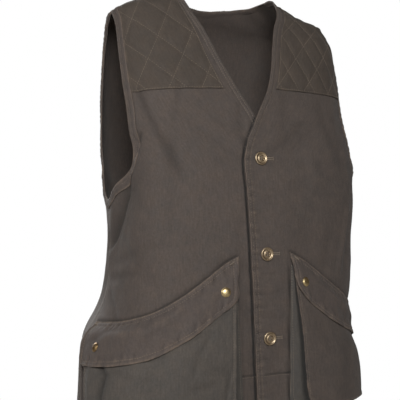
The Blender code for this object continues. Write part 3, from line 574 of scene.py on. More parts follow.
def folds_over(first, second, rows, measure):
    """Sum of folds over a grid, each a bell curve of the distance to its own path.

    The bell has its own half width on each side of the path, and fades past both of its ends.
    The measure gives the distances across and up from a place to each point.
    """
    total = np.zeros(np.broadcast(first, second).shape)
    for rise, left, right, *path in rows:
        closest = np.full(total.shape, np.inf)
        share_of = np.zeros(total.shape)
        for number, (start, end) in enumerate(zip(path[:-1], path[1:])):
            across, up = measure(first, second, start)
            run = np.array(measure(end[0], end[1], start))
            length = np.hypot(*run)
            share = (across * run[0] + up * run[1]) / length**2
            held = np.clip(share, 0.0, 1.0)
            distance = np.hypot(across - held * run[0], up - held * run[1])
            over = np.where(share < 0, -share if number == 0 else 0.0, 0.0)
            over = np.where(share > 1, share - 1 if number == len(path) - 2 else 0.0, over) * length
            side = np.sqrt(np.maximum(distance**2 - over**2, 0.0))
            width = np.where(run[0] * up - run[1] * across > 0, left, right)
            bell = np.exp(-((side / width) ** 2) - (over / (left + right)) ** 2)
            closer = distance < closest
            closest = np.where(closer, distance, closest)
            share_of = np.where(closer, bell, share_of)
        total = total + rise * share_of
    return total


def round_the_form(angle, height, place):
    """Distances across and up from a place to points at an angle in degrees and a height."""
    turn = (angle - place[0] + 180.0) % 360.0 - 180.0
    return MEAN_RADIUS * np.radians(turn), height - place[1]


def pucker(along, distance, reach, depth=0.0003):
    """Ripples drawn up by a row of stitches: three sine waves along it, fading away from it."""
    waves = np.sin(546 * along + 1.4 * np.sin(97 * along)) + 0.6 * np.sin(331 * along + 1.0)
    waves = waves + 0.5 * np.sin(905 * along + 2.0 * np.sin(61 * along))
    return depth * waves * np.exp(-((distance / reach) ** 2))


def slack(angle, height):
    """Slight unevenness of well-used cloth: three waves of unlike lengths, each a product of sines."""
    across = MEAN_RADIUS * angle
    long_wave = np.sin(41 * across + 2.1 * np.sin(13 * height)) * np.sin(29 * height + 1.3)
    cross_wave = np.sin(67 * across - 38 * height + 0.7) * np.sin(19 * across + 51 * height)
    short_wave = np.sin(173 * across + 61 * height + 2 * long_wave) * np.sin(149 * height - 47 * across)
    return 0.0007 * long_wave + 0.0004 * cross_wave + 0.00012 * short_wave


def rise_at(angle, height):
    """How far swells, creases, folds and slack carry the cloth out of the plain form.

    A swell is a bell curve in angle and in height, with its own reach up and down.
    """
    rise = crease_rise(angle, height, CREASES)
    rise = rise + folds_over(np.degrees(angle), height, FOLDS, round_the_form)
    for at_angle, at_height, round_reach, up_reach, down_reach, swell in SWELLS:
        turn = turn_between(angle, math.radians(at_angle)) / math.radians(round_reach)
        lift = height - at_height
        drop = np.where(lift > 0, lift / up_reach, lift / down_reach)
        rise = rise + swell * np.exp(-turn**2 - drop**2)
    return rise + slack(angle, height)


def plain_form(angle, height):
    """Point of the form without its folds: a squarish oval at each height."""
    half_width = smooth(SECTIONS, 1, height)
    ahead = smooth(SECTIONS, 2, height)
    behind = smooth(SECTIONS, 3, height)
    depth = np.where(np.cos(angle) > 0, ahead, behind)
    x = half_width * across_share(angle)
    y = SIDE_LINE - depth * ahead_share(angle)
    return np.stack([x, y, height + 0.0 * angle], axis=-1)


def normals_of(surface, angle, height):
    """Outward unit normals of a surface given as a function of angle and height."""
    step = 0.002
    height = np.minimum(height, TOP_LEVEL)
    round_way = surface(angle + step, height) - surface(angle - step, height)
    up_way = surface(angle, height + step) - surface(angle, height - step)
    return unit(np.cross(round_way, up_way))


def form(angle, height):
    """Point of the folded form: the plain one moved out by the rise, the left shoulder lower.

    The shoulder's drop eases in from the centre, and past its full depth it fades as a sine.
    """
    point = moved(plain_form(angle, height), normals_of(plain_form, angle, height), rise_at(angle, height))
    across = point[..., 0]
    fade = np.clip((SHOULDER_END - across) / (SHOULDER_END - SHOULDER_FULL), 0.0, 1.0)
    share = ease(across / SHOULDER_FULL) * np.sin(math.pi / 2 * fade)
    point[..., 2] -= SHOULDER_DROP * share * ease((height + 0.11) / 0.09)
    return point


def lap_lift(angle, height):
    """How far the left front is carried out where it laps over the right one."""
    across = smooth(SECTIONS, 1, height) * across_share(angle)
    return LAP_RISE * (1 - ease((across - LAP_FLAT) / LAP_FADE))


def on_form(places, gap=0.0, lap=False):
    """Points and normals a distance out from the form, with the left front's lap if asked."""
    angle, height = places[..., 0], places[..., 1]
    normals = normals_of(form, angle, height)
    rise = gap + (lap_lift(angle, height) if lap else 0.0)
    return moved(form(angle, height), normals, np.broadcast_to(rise, angle.shape)), normals


def on_front(side, angle, height, gap):
    """Points and normals a distance out from a front."""
    hand = HANDS[side]
    return on_form(as_places(angle * hand, height), gap, hand > 0)


# Lines on the form, as arrays of angle and height

def as_places(angle, height):
    """Angles and heights as one array of places."""
    return np.stack(np.broadcast_arrays(angle, height), axis=-1)


def lengths_along(points):
    """Distance from the start to each point of a line."""
    steps = np.linalg.norm(np.diff(points, axis=0), axis=-1)
    return np.concatenate([[0.0], np.cumsum(steps)])


def run_along(line):
    """Distance over the plain form from a line's start to each of its places."""
    return lengths_along(plain_form(*line.T))


def line_length(line):
    """Length of a line on the plain form."""
    return run_along(line)[-1]


def spaced(line, distances):
    """Places on a line at distances along it, in metres from its start."""
    along = run_along(line)
    return as_places(*(np.interp(distances, along, column) for column in line.T))


def evenly(count):
    """Rule that spaces a count of places evenly over a line."""
    return lambda line: np.linspace(0.0, line_length(line), count)


def through(rows, count=240):
    """Smooth path through a few rows, at even steps of the distance between them."""
    rows = np.array(rows, dtype=float)
    table = np.column_stack([lengths_along(rows), rows])
    at = np.linspace(0.0, table[-1, 0], count)
    return np.stack([smooth(table, 1, at), smooth(table, 2, at)], axis=-1)


def front_edge_line(hand):
    """Front edge and neckline of a front, hem to shoulder seam, as on the wearer's left."""
    height = np.concatenate([np.linspace(HEM, -0.02, 300), np.linspace(-0.02, 0.0, 60)[1:]])
    line = as_places(angle_at(smooth(FRONT_EDGE, 1 if hand < 0 else 2, height), height), height)
    line[-1, 0] = math.pi / 2
    return line


def armhole_line(behind):
    """Armhole edge on the left side, foot to shoulder tip."""
    path = through(ARMHOLE_BEHIND if behind else ARMHOLE_AHEAD)[::-1]
    angle = angle_from_ahead(path[:, 1] / smooth(SECTIONS, 3 if behind else 2, path[:, 0]))
    if behind:
        angle = math.pi - angle
    angle[[0, -1]] = math.pi / 2
    return as_places(angle, path[:, 0])


def inset_line(line, width, behind):
    """The line a band's width inside an armhole edge: its points moved square to it."""
    points = plain_form(*line.T)
    inward = unit(np.cross(normals_of(plain_form, *line.T), np.gradient(points, axis=0)))
    inset = points + inward * (-width if behind else width)
    inner = as_places(angle_of_point(inset, behind), inset[:, 2])
    seam = as_places(math.pi / 2, np.linspace(SHOULDER_TIP, 0.0, 160))
    return np.vstack([[(math.pi / 2, line[0, 1] - width)], inner[2:-2], [spaced(seam, width)]])


def row_between(start, end, behind):
    """Dense line round the form from one place to another, over the chord between them."""
    share = np.linspace(0.0, 1.0, 91)[:, None]
    chord = plain_form(*start) * (1 - share) + plain_form(*end) * share
    line = as_places(angle_of_point(chord, behind), chord[:, 2])
    line[0] = start
    line[-1] = end
    return line


def rising_places(line):
    """Places of all rows on a line up a panel: level ones to the armhole, even ones above it."""
    along = run_along(line)
    low = np.interp(LOW_LEVELS, line[:, 1], along)
    return spaced(line, np.concatenate([low, np.linspace(low[-1], along[-1], HIGH_ROWS + 1)[1:]]))


def upper_places(line, from_height, rows):
    """Even places on a rising line from a height to its top."""
    along = run_along(line)
    return spaced(line, np.linspace(np.interp(from_height, line[:, 1], along), along[-1], rows))


def block(starts, ends, behind, distances):
    """Grid of places between two rising lines, each row spaced by a rule for its line."""
    lines = [row_between(start, end, behind) for start, end in zip(starts, ends)]
    return np.array([spaced(line, distances(line)) for line in lines])


def side_line(behind):
    """The line up the side seam and on along the inner edge of the armhole band."""
    inner = inset_line(armhole_line(behind), ARMHOLE_BAND, behind)
    return np.vstack([as_places(math.pi / 2, np.linspace(HEM, inner[0, 1], 61)[:-1]), inner])


def band_places(behind, shares):
    """Places over the armhole band's width, row by row up to the shoulder."""
    inner = rising_places(side_line(behind))[len(LOW_LEVELS) - 1:]
    reached = run_along(inner)
    edge = armhole_line(behind)
    outer = spaced(edge, reached * line_length(edge) / reached[-1])
    shares = np.asarray(shares)[None, :, None]
    return inner[:, None] * (1 - shares) + outer[:, None] * shares


def handed(places, hand):
    """The same places on the wearer's left, 1, or right, -1."""
    return places * np.array([hand, 1.0])


def mirrored(places):
    """The same places on the other side of the centre back."""
    return as_places(2 * math.pi - places[..., 0], places[..., 1])


# Meshes

def lengths_over(points, axis):
    """Running length along one way of a grid."""
    steps = np.linalg.norm(np.diff(points, axis=axis), axis=-1)
    start = np.zeros_like(steps.take([0], axis=axis))
    return np.concatenate([start, np.cumsum(steps, axis=axis)], axis=axis)


def cells(rows, columns):
    """The four corner numbers of every cell of a grid."""
    number = np.arange(rows * columns).reshape(rows, columns)
    corners = [number[:-1, :-1], number[:-1, 1:], number[1:, 1:], number[1:, :-1]]
    return np.stack(corners, axis=-1).reshape(-1, 4)


def grid_normals(points, toward):
    """Unit normals of a grid from its own neighbours, on the side of the given ones."""
    made = np.cross(np.gradient(points, axis=1), np.gradient(points, axis=0))
    return unit(made * np.sign((made * toward).sum(-1, keepdims=True)))


def make_piece(name, mesh, finish, replaced=()):
    """Put a mesh into the scene with its finish, riding on the one body."""
    piece = bpy.data.objects.new(name, mesh)
    bpy.context.scene.collection.objects.link(piece)
    mesh.materials.append(FINISHES[finish])
    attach(piece, "root")
    if replaced:
        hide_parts(*replaced)
    return piece


def weld(mesh, face_out=False):
    """Merge the points of a mesh that meet, and shade it smooth."""
    joined = bmesh.new()
    joined.from_mesh(mesh)
    bmesh.ops.remove_doubles(joined, verts=joined.verts, dist=2e-6)
    if face_out:
        bmesh.ops.recalc_face_normals(joined, faces=joined.faces)
    joined.to_mesh(mesh)
    joined.free()
    mesh.shade_smooth()
    return mesh


def cloth_mesh(name, blocks):
    """Join blocks of points into one sheet, each faced along its own normals.

    The UV map holds metres along and up each block. The attribute for wear and painted shade is 1
    where a turned or stitched edge is rubbed pale, 0 in the open cloth and below 0 where painted
    shade darkens a groove, fold, pucker trough or shadowed strip. The one called wall is the thickness
    at a point as a share of the piece's own.
    """
    points, faces, maps, worn, wall, first = [], [], [], [], [], 0
    for spread in blocks:
        grid, normals = spread["points"], spread["normals"]
        rows, columns = grid.shape[:2]
        row, column = rows // 2, columns // 2
        across = grid[row, column] - grid[row - 1, column - 1]
        other = grid[row, column - 1] - grid[row - 1, column]
        block_faces = cells(rows, columns) + first
        if np.cross(across, other) @ normals[row, column] < 0:
            block_faces = block_faces[:, ::-1]
        points.append(grid.reshape(-1, 3))
        faces.append(block_faces)
        along = lengths_over(grid, 1) + spread.get("start", 0.0)
        maps.append(np.stack([along, lengths_over(grid, 0)], axis=-1).reshape(-1, 2))
        worn.append(np.broadcast_to(spread.get("worn", 0.0), (rows, columns)).ravel())
        wall.append(np.broadcast_to(spread.get("wall", 1.0), (rows, columns)).ravel())
        first += rows * columns
    mesh = bpy.data.meshes.new(name)
    mesh.from_pydata(np.concatenate(points).tolist(), [], np.concatenate(faces).tolist())
    corner = np.empty(len(mesh.loops), dtype=np.int32)
    mesh.loops.foreach_get("vertex_index", corner)
    layer = mesh.uv_layers.new(name="cloth")
    layer.data.foreach_set("uv", np.concatenate(maps)[corner].ravel())
    for title, values in (("worn", worn), ("wall", wall)):
        held = mesh.attributes.new(title, "FLOAT", "POINT")
        held.data.foreach_set("value", np.concatenate(values).astype(np.float32))
    return weld(mesh)


def cloth(node, blocks, wall, outward, slot, finish=None):
    """The sheet of cloth that dresses a node, with its thickness and its rounded raw edges."""
    mesh = cloth_mesh(node + "_canvas", blocks)
    piece = make_piece(node + "_canvas", mesh, finish or slot, [node])
    share = np.empty(len(mesh.vertices), dtype=np.float32)
    mesh.attributes["wall"].data.foreach_get("value", share)
    solid = piece.modifiers.new("wall", "SOLIDIFY")
    solid.thickness = wall * float(share.max())
    solid.offset = outward
    if share.max() - share.min() > 1e-4:
        group = piece.vertex_groups.new(name="wall")
        levels = np.round(share / share.max(), 2)
        for level in np.unique(levels):
            group.add(np.flatnonzero(levels == level).tolist(), float(level), "REPLACE")
        solid.vertex_group = "wall"
    soft = piece.modifiers.new("edges", "BEVEL")
    soft.width = 0.00035
    soft.segments = 2
    soft.limit_method = "ANGLE"
    soft.angle_limit = math.radians(62)
    return piece


# Stitching

# One stitch: place along it, to its side and out of the cloth, as shares of its own sizes
STITCH = np.array([
    (-0.50, 0.0, -0.5),
    (-0.26, -0.5, 0.15), (-0.26, 0.0, 0.9), (-0.26, 0.5, 0.15), (-0.26, 0.0, -0.5),
    (0.26, -0.5, 0.15), (0.26, 0.0, 0.9), (0.26, 0.5, 0.15), (0.26, 0.0, -0.5),
    (0.50, 0.0, -0.5),
])
STITCH_FACES = [
    (0, 2, 1), (0, 3, 2), (0, 4, 3), (0, 1, 4),
    (1, 2, 6, 5), (2, 3, 7, 6), (3, 4, 8, 7), (4, 1, 5, 8),
    (9, 5, 6), (9, 6, 7), (9, 7, 8), (9, 8, 5),
]


class Thread:
    """Gathers stitches, and makes them one mesh."""

    def __init__(self):
        self.points = []
        self.count = 0

    def place(self, centres, ways, normals, length, width, height):
        """Set a stitch at each centre: the pattern stitch turned to its way and its normal."""
        ways = unit(ways - (ways * normals).sum(-1, keepdims=True) * normals)
        sides = np.cross(normals, ways)
        along, aside, out = (STITCH[:, i][None, :, None] for i in range(3))
        length = np.broadcast_to(length, len(centres))[:, None, None]
        made = centres[:, None] + ways[:, None] * along * length
        made = made + sides[:, None] * aside * width + normals[:, None] * out * height
        self.points.append(made.reshape(-1, 3))
        self.count += len(centres)

    def sew(self, path, normals, length=0.0027, width=0.0008, height=0.00042):
        """Run stitches along a path at an even pitch."""
        along = lengths_along(path)
        count = int(along[-1] / STITCH_PITCH)
        if count < 2:
            return
        at = (np.arange(count) + 0.5) * along[-1] / count
        out = unit(read_along(along, normals, at))
        ways = read_along(along, path, at + 0.4 * length) - read_along(along, path, at - 0.4 * length)
        self.place(read_along(along, path, at), ways, out, length, width, height)

    def finish(self, name):
        """Make the piece that holds all the stitches gathered here."""
        each = len(STITCH)
        faces = [tuple(each * number + corner for corner in face)
                 for number in range(self.count) for face in STITCH_FACES]
        mesh = bpy.data.meshes.new(name)
        mesh.from_pydata(np.concatenate(self.points).tolist(), [], faces)
        mesh.shade_smooth()
        return make_piece(name, mesh, "thread")


def read_along(along, values, at):
    """Vectors at distances along a path, read between its points."""
    return np.stack([np.interp(at, along, column) for column in values.T], axis=-1)


def alike(vector, others):
    """The same vector once for each of the others."""
    return np.repeat(np.array(vector)[None], len(others), axis=0)


def level_line(field, level, points, normals):
    """Path over a grid where a field that changes steadily up its columns takes a value.

    Where the field takes it in fewer than three columns the path is one point, too short to sew.
    """
    columns = np.flatnonzero((field.min(axis=0) < level) & (field.max(axis=0) > level))
    if len(columns) < 3:
        return points[0, :1], normals[0, :1]
    order = 1 if field[-1, columns[0]] > field[0, columns[0]] else -1
    rows = np.arange(len(field))[::order]
    at = np.array([np.interp(level, field[::order, column], rows) for column in columns])
    low = np.minimum(at.astype(int), len(field) - 2)
    share = (at - low)[:, None]
    return tuple(grid[low, columns] * (1 - share) + grid[low + 1, columns] * share
                 for grid in (points, normals))


# Finishes

# Pitch of the weave
THREAD_PITCH = 0.0011

# Cloths: colour as it is, where it is faded and where it is darker, how mottled and how rubbed
CLOTHS = {
    "canvas": ((0.0765, 0.0585, 0.0503), (0.142, 0.103, 0.080), (0.066, 0.053, 0.047), 0.55, 0.85),
    "patch_canvas": ((0.062, 0.046, 0.036), (0.108, 0.080, 0.060), (0.050, 0.039, 0.031), 0.6, 0.8),
    "trim_canvas": ((0.0785, 0.0595, 0.0520), (0.154, 0.113, 0.087), (0.064, 0.051, 0.046), 0.55, 1.0),
    # A lighter, cooler copy of the canvas for the near pouch: painted light
    "near_pouch_lit_canvas": ((0.077, 0.064, 0.055), (0.130, 0.104, 0.085), (0.063, 0.055, 0.049), 0.7, 0.8),
    # The gussets take a darker copy of the canvas: painted shade
    "gusset_canvas": ((0.060, 0.052, 0.046), (0.125, 0.100, 0.080), (0.046, 0.041, 0.037), 0.6, 0.8),
}
# Each pouch takes a copy of the canvas tinted for the light on it: the far one the darker, warmer canvas,
# as painted shade
POUCH_LIT_FINISHES = {"right": "near_pouch_lit_canvas", "left": "canvas"}
SHEEN = {"Sheen Weight": 0.06, "Sheen Roughness": 0.45}
THREAD_COLORS = {
    "Cloth": (0.190, 0.150, 0.118),
    "Faded": (0.24, 0.19, 0.145),
    "Shade": (0.140, 0.110, 0.086),
}

# Metals: bright colour, tarnished colour, how aged it is, depth of its relief
METALS = {
    "button_brass": ((0.54, 0.42, 0.29), (0.26, 0.19, 0.12), 0.75, 0.00004),
    "snap_brass": ((0.72, 0.56, 0.30), (0.34, 0.24, 0.12), 0.35, 0.00003),
    # A darker copy of the snap brass for the side snap of the near flap: painted shade
    "shaded_snap_brass": ((0.40, 0.27, 0.13), (0.13, 0.08, 0.04), 0.70, 0.00003),
}


def feed(tree, node, inputs):
    """Link or set the inputs of a node, each by its name or number."""
    for title, value in inputs.items():
        if isinstance(value, bpy.types.NodeSocket):
            tree.links.new(value, node.inputs[title])
        else:
            node.inputs[title].default_value = value
    return node


def add_node(tree, kind, inputs=None, **settings):
    """Add a shader node with its settings, and feed its inputs."""
    node = tree.nodes.new("ShaderNode" + kind)
    for title, value in settings.items():
        setattr(node, title, value)
    return feed(tree, node, inputs or {})


def math_node(tree, operation, *values, clamp=False):
    """Result of a Math node on sockets or plain numbers."""
    return add_node(tree, "Math", dict(enumerate(values)), operation=operation, use_clamp=clamp).outputs[0]


def noise_node(tree, vector, scale, detail, rough=0.5):
    """Value of a noise on a vector."""
    inputs = {"Vector": vector, "Scale": scale, "Detail": detail, "Roughness": rough}
    return add_node(tree, "TexNoise", inputs).outputs["Fac"]


def spread_node(tree, value, low, high, to_low=0.0, to_high=1.0):
    """Map a value from one range to another, held at the ends."""
    inputs = {"Value": value, "From Min": low, "From Max": high, "To Min": to_low, "To Max": to_high}
    return add_node(tree, "MapRange", inputs).outputs["Result"]


def mix_node(tree, factor, first, second):
    """Mix two colours by a factor."""
    inputs = {"Factor": factor, "A": first, "B": second}
    return add_node(tree, "Mix", inputs, data_type="RGBA").outputs["Result"]


def new_group(name, colors, numbers):
    """Shader node group: its colour inputs, its number inputs with their values, and its outputs."""
    group = bpy.data.node_groups.new(name, "ShaderNodeTree")
    for title in colors:
        group.interface.new_socket(title, in_out="INPUT", socket_type="NodeSocketColor")
    for title, value in numbers.items():
        socket = group.interface.new_socket(title, in_out="INPUT", socket_type="NodeSocketFloat")
        socket.default_value = value
    for title, kind in (("Color", "Color"), ("Roughness", "Float"), ("Height", "Float")):
        group.interface.new_socket(title, in_out="OUTPUT", socket_type="NodeSocket" + kind)
    return group, group.nodes.new("NodeGroupInput").outputs, group.nodes.new("NodeGroupOutput")


def make_canvas_group():
    """Plain-woven canvas: crossing threads, slubs, mottled dye, rubbed seams and painted shade in hollows.
    """
    group, given, result = new_group("woven_canvas", ("Cloth", "Faded", "Shade"),
                                     {"Mottle": 0.5, "Rub": 0.6, "Weave": 1.0})
    sheet = add_node(group, "UVMap", uv_map="cloth").outputs["UV"]
    ways = add_node(group, "SeparateXYZ", {0: sheet}).outputs
    warp, weft = (math_node(group, "SINE", math_node(group, "MULTIPLY", way, 2 * math.pi / THREAD_PITCH))
                  for way in (ways[0], ways[1]))
    crossing = math_node(group, "MULTIPLY", warp, weft)
    slubs = noise_node(group, sheet, 900.0, 1.0)
    stretched = add_node(group, "Mapping", {"Vector": sheet, "Scale": (1.0, 0.12, 1.0)}).outputs["Vector"]
    streaks = noise_node(group, stretched, 420.0, 2.0, 0.6)
    body = add_node(group, "TexCoord").outputs["Object"]
    cloud = noise_node(group, body, 16.0, 3.0, 0.6)
    patch = noise_node(group, body, 62.0, 3.0, 0.65)
    fleck = noise_node(group, body, 330.0, 3.0, 0.75)
    worn = add_node(group, "Attribute", attribute_name="worn").outputs["Fac"]
    edge = math_node(group, "MULTIPLY", worn, spread_node(group, patch, 0.35, 0.62))
    rub = math_node(group, "MULTIPLY", edge, given["Rub"], clamp=True)
    clouded = math_node(group, "MULTIPLY", spread_node(group, cloud, 0.36, 0.66), given["Mottle"])
    blotched = math_node(group, "MULTIPLY", spread_node(group, patch, 0.40, 0.75), 0.45)
    faded = math_node(group, "MULTIPLY", blotched, given["Mottle"])
    color = mix_node(group, clouded, given["Cloth"], given["Shade"])
    color = mix_node(group, math_node(group, "MAXIMUM", faded, rub), color, given["Faded"])
    grain = math_node(group, "MULTIPLY_ADD", crossing, 0.07, 1.0)
    # Where the attribute for wear and painted shade is below 0, the colour is scaled down to a quarter at
    # -1: painted shade
    for factor in (
        spread_node(group, worn, -1.0, 0.0, 0.25, 1.0),
        spread_node(group, streaks, 0.3, 0.7, 0.88, 1.12),
        spread_node(group, fleck, 0.3, 0.7, 0.84, 1.16),
    ):
        grain = math_node(group, "MULTIPLY", grain, factor)
    height = math_node(group, "MULTIPLY_ADD", slubs, 0.7, math_node(group, "MULTIPLY", crossing, 0.22))
    height = math_node(group, "MULTIPLY", height, given["Weave"])
    feed(group, result, {
        "Color": add_node(group, "VectorMath", {0: color, "Scale": grain}, operation="SCALE").outputs[0],
        "Roughness": spread_node(group, patch, 0.3, 0.7, 0.74, 0.92),
        "Height": math_node(group, "MULTIPLY_ADD", patch, 0.9, height),
    })
    return group


def make_metal_group():
    """Aged brass: darker in blotches, with fine scratches."""
    group, given, result = new_group("aged_brass", ("Bright", "Tarnish"), {"Age": 0.5})
    body = add_node(group, "TexCoord").outputs["Object"]
    blotch = noise_node(group, body, 420.0, 4.0, 0.7)
    scratch = noise_node(group, body, 2600.0, 2.0, 0.7)
    aged = math_node(group, "MULTIPLY", spread_node(group, blotch, 0.35, 0.65), given["Age"], clamp=True)
    feed(group, result, {
        "Color": mix_node(group, aged, given["Bright"], given["Tarnish"]),
        "Roughness": math_node(group, "MULTIPLY_ADD", aged, 0.30, 0.34),
        "Height": math_node(group, "MULTIPLY_ADD", scratch, 0.5, blotch),
    })
    return group


def tint(color):
    """Opaque colour."""
    return (*color, 1.0)


def new_finish(name, group, values, bump, own):
    """Material with one Principled shader that a group feeds, and the shader's own values."""
    made = bpy.data.materials.new(name)
    made.use_nodes = True
    tree = made.node_tree
    given = add_node(tree, "Group", values, node_tree=group).outputs
    bumps = add_node(tree, "Bump", {"Strength": 1.0, "Distance": bump, "Height": given["Height"]})
    shader = tree.nodes["Principled BSDF"]
    feed(tree, shader, {
        "Base Color": given["Color"],
        "Roughness": given["Roughness"],
        "Normal": bumps.outputs["Normal"],
        **own,
    })
    return made


def make_finishes():
    """All materials, by name."""
    canvas, metal = make_canvas_group(), make_metal_group()
    finishes = {}
    for name, (color, faded, shade, mottle, rub) in CLOTHS.items():
        values = {"Cloth": tint(color), "Faded": tint(faded), "Shade": tint(shade)}
        values.update({"Mottle": mottle, "Rub": rub})
        finishes[name] = new_finish(name, canvas, values, 0.00035, SHEEN)
    values = {title: tint(color) for title, color in THREAD_COLORS.items()}
    finishes["thread"] = new_finish("thread", canvas, {**values, "Weave": 0.0}, 0.0001, {})
    for name, (bright, tarnish, age, bump) in METALS.items():
        values = {"Bright": tint(bright), "Tarnish": tint(tarnish), "Age": age}
        finishes[name] = new_finish(name, metal, values, bump, {"Metallic": 1.0})
    return finishes


FINISHES = make_finishes()
THREADS = {name: Thread()
           for name in ("front", "back", "band", "patch", "pocket", "flap", "button", "buttonhole")}


# Fronts, back, bands and patches

def front_columns(length, hand):
    """Distances of a front's columns from its turned edge, out to its whole length."""
    runs = [np.linspace(start, end or length, count) for start, end, count in FRONT_RUNS[hand]]
    return np.concatenate([CLOSE_COLUMNS, *runs])


def front_relief(side, places, points, distance, up):
    """Rise of a front beside its form, and its wear and painted shading.

    The turned edge is rolled, full, sunk at its thread and puckered, and on the left it lifts. A
    groove runs beside the lap on the right, above the flap and at the hem's turn. Edges are
    rubbed. Painted shade darkens the grooves, the folds' hollows, the pucker troughs and the panel
    along the pocket's inner seam; pucker crests are painted paler, as rubbed and as a painted highlight.
    """
    turn, height = np.degrees(np.abs(places[..., 0])), places[..., 1]
    by_neck = ease((height + 0.29) / 0.06)
    puckers = pucker(up, distance - 0.008, 0.008, 0.0008) * (1 - 0.7 * by_neck)
    rolled = -0.0007 * np.clip(1 - distance / 0.0016, 0, 1) ** 2
    rise = rolled + relief(distance, EDGE_RELIEF) + puckers
    worn = np.maximum(near_line(distance, 0.0030), 0.6 * near_line(distance - EDGE_SEAMS[1], 0.0020))
    # Pucker crests painted paler and troughs darker: partly rub, partly painted highlight and painted shade
    worn = np.maximum(worn * (1 - NECK_FADE[side] * by_neck), near_line(up, 0.004)) + PUCKER_PAINTED_SHADING * puckers
    if side == "left":
        rise = rise + EDGE_LIFT * np.exp(-distance / 0.007)
    else:
        from_lap = points[..., 0] - smooth(FRONT_EDGE, 2, height)
        rise = rise - LAP_GROOVE * near_line(from_lap + 0.0006, 0.0016)
        # Painted shade in the groove under the left front's lapping edge
        worn = worn - 1.6 * near_line(from_lap + 0.0005, 0.0015)
    above_flap = height - smooth(FLAP_SEAM, 1, turn)
    from_flap = turn - math.degrees(angle_at(FLAP_INNER[side][0], FLAP_LEVEL))
    beside = ease((from_flap + 0.5) / 1.5) * ease((FLAP_OUTER + 1.0 - turn) / 2.0)
    rise = rise - FLAP_GROOVE * near_line(above_flap - 0.0012, 0.0030) * beside
    # Painted shade in the groove above the flap's sewn edge
    worn = worn - 0.75 * near_line(above_flap - 0.0016, 0.0022) * beside
    folds = folds_over(np.degrees(places[..., 0]), height, FOLDS, round_the_form)
    # Painted shade in the hollows of the folds, deeper hollows darker
    worn = worn + FOLD_PAINTED_SHADING * np.minimum(folds, 0.0)
    past_pocket = MEAN_RADIUS * (np.radians(turn) - pocket_inner(side, height))
    below_mouth = ease((POCKET_TOP - height) / 0.010)
    # Painted shadow on the panel along the pocket's inner seam, under the pouch's edge
    worn = worn - POCKET_SHADE[side] * near_line(past_pocket + 0.0016, 0.0016) * below_mouth
    # Painted shade in the groove at the hem's turn
    at_turn = near_line(height - HEM_TURN - 0.0016, 0.0016) * (distance > 0.004)
    return rise - 0.0007 * at_turn, worn - 0.6 * at_turn


def strip_block(places, lap, start):
    """The strip of a panel under the armhole band."""
    points, normals = on_form(places, 0.0, lap)
    return {"points": points, "normals": normals, "start": start}


def make_front(side):
    """One front: its open cloth from the front edge to the side, and its strip by the armhole."""
    hand = HANDS[side]
    starts, ends = rising_places(front_edge_line(hand)), rising_places(side_line(False))
    places = handed(block(starts, ends, False, lambda line: front_columns(line_length(line), hand)), hand)
    distance = front_columns(FRONT_WIDTH, hand)[None, :]
    points, normals = on_form(places, 0.0, hand > 0)
    up = lengths_over(points, 0)
    rise, worn = front_relief(side, places, points, distance, up)
    points = moved(points, normals, rise)
    thick = np.where((distance < EDGE_THICK) | (up < HEM_THICK), EDGE_WALL / PANEL_WALL, 1.0)
    open_cloth = {"points": points, "normals": normals, "worn": worn, "wall": thick}
    strip = strip_block(handed(band_places(False, STRIP_SHARES), hand), hand > 0, 0.25)
    piece = cloth("front_" + side, [open_cloth, strip], PANEL_WALL, -1, "canvas")
    for column in np.searchsorted(CLOSE_COLUMNS, EDGE_SEAMS):
        THREADS["front"].sew(points[:, column] + normals[:, column] * 0.0001, normals[:, column])
    for level in (HEM_SEAM, HEM_TURN):
        row = nearest(LOW_LEVELS, level)
        THREADS["front"].sew(points[row, 10:], normals[row, 10:])
    return piece


def below_neck_line():
    """Line down the back from the neck end of the left shoulder seam."""
    height = np.concatenate([np.linspace(HEM, -0.02, 300), np.linspace(-0.02, 0.0, 200)[1:]])
    line = as_places(math.pi - angle_at(BACK_NECK[-1, 0], height), height)
    line[-1, 0] = math.pi / 2
    return line


def back_neck_line():
    """Left half of the back neckline, from the shoulder seam to the centre back."""
    across = np.linspace(BACK_NECK[-1, 0], 0.0, 200)
    height = smooth(BACK_NECK, 1, across)
    line = as_places(math.pi - angle_at(across, height), height)
    line[0, 0] = math.pi / 2
    return line


def make_back():
    """The back, from the left side seam round to the right one, with both armhole strips."""
    below = rising_places(below_neck_line())
    centre = rising_places(as_places(math.pi, np.linspace(HEM, float(smooth(BACK_NECK, 1, 0.0)), 300)))
    shoulder = block(rising_places(side_line(True)), below, True, evenly(SHOULDER_COLUMNS))
    neck = block(below, centre, True, evenly(NECK_COLUMNS))
    neck[-1] = spaced(back_neck_line(), evenly(NECK_COLUMNS)(back_neck_line()))
    left = np.concatenate([shoulder, neck[:, 1:]], axis=1)
    places = np.concatenate([left, mirrored(left[:, -2::-1])], axis=1)
    points, normals = on_form(places)
    top, up = lengths_over(points[::-1], 0)[::-1], lengths_over(points, 0)
    at_neck = np.zeros(places.shape[1], dtype=bool)
    at_neck[SHOULDER_COLUMNS - 1:1 - SHOULDER_COLUMNS] = True
    doubled = ((top < EDGE_THICK) & at_neck) | (up < HEM_THICK)
    thick = np.where(doubled, EDGE_WALL / PANEL_WALL, 1.0)
    worn = np.maximum(near_line(top, 0.004) * at_neck, near_line(up, 0.004))
    open_cloth = {"points": points, "normals": normals, "worn": worn, "wall": thick}
    strip = band_places(True, STRIP_SHARES)
    strips = [strip_block(part, False, 0.5) for part in (strip, mirrored(strip))]
    piece = cloth("back", [open_cloth, *strips], PANEL_WALL, -1, "canvas")
    low, neck_part = slice(len(LOW_LEVELS)), slice(SHOULDER_COLUMNS, -SHOULDER_COLUMNS)
    for seam in (
        nearest(LOW_LEVELS, HEM_SEAM), nearest(LOW_LEVELS, HEM_TURN), (low, 1), (low, -2), (-2, neck_part),
        (-3, neck_part), (-2, slice(1, SHOULDER_COLUMNS)), (-2, slice(-SHOULDER_COLUMNS, -1)),
    ):
        THREADS["back"].sew(points[seam], normals[seam])
    return piece


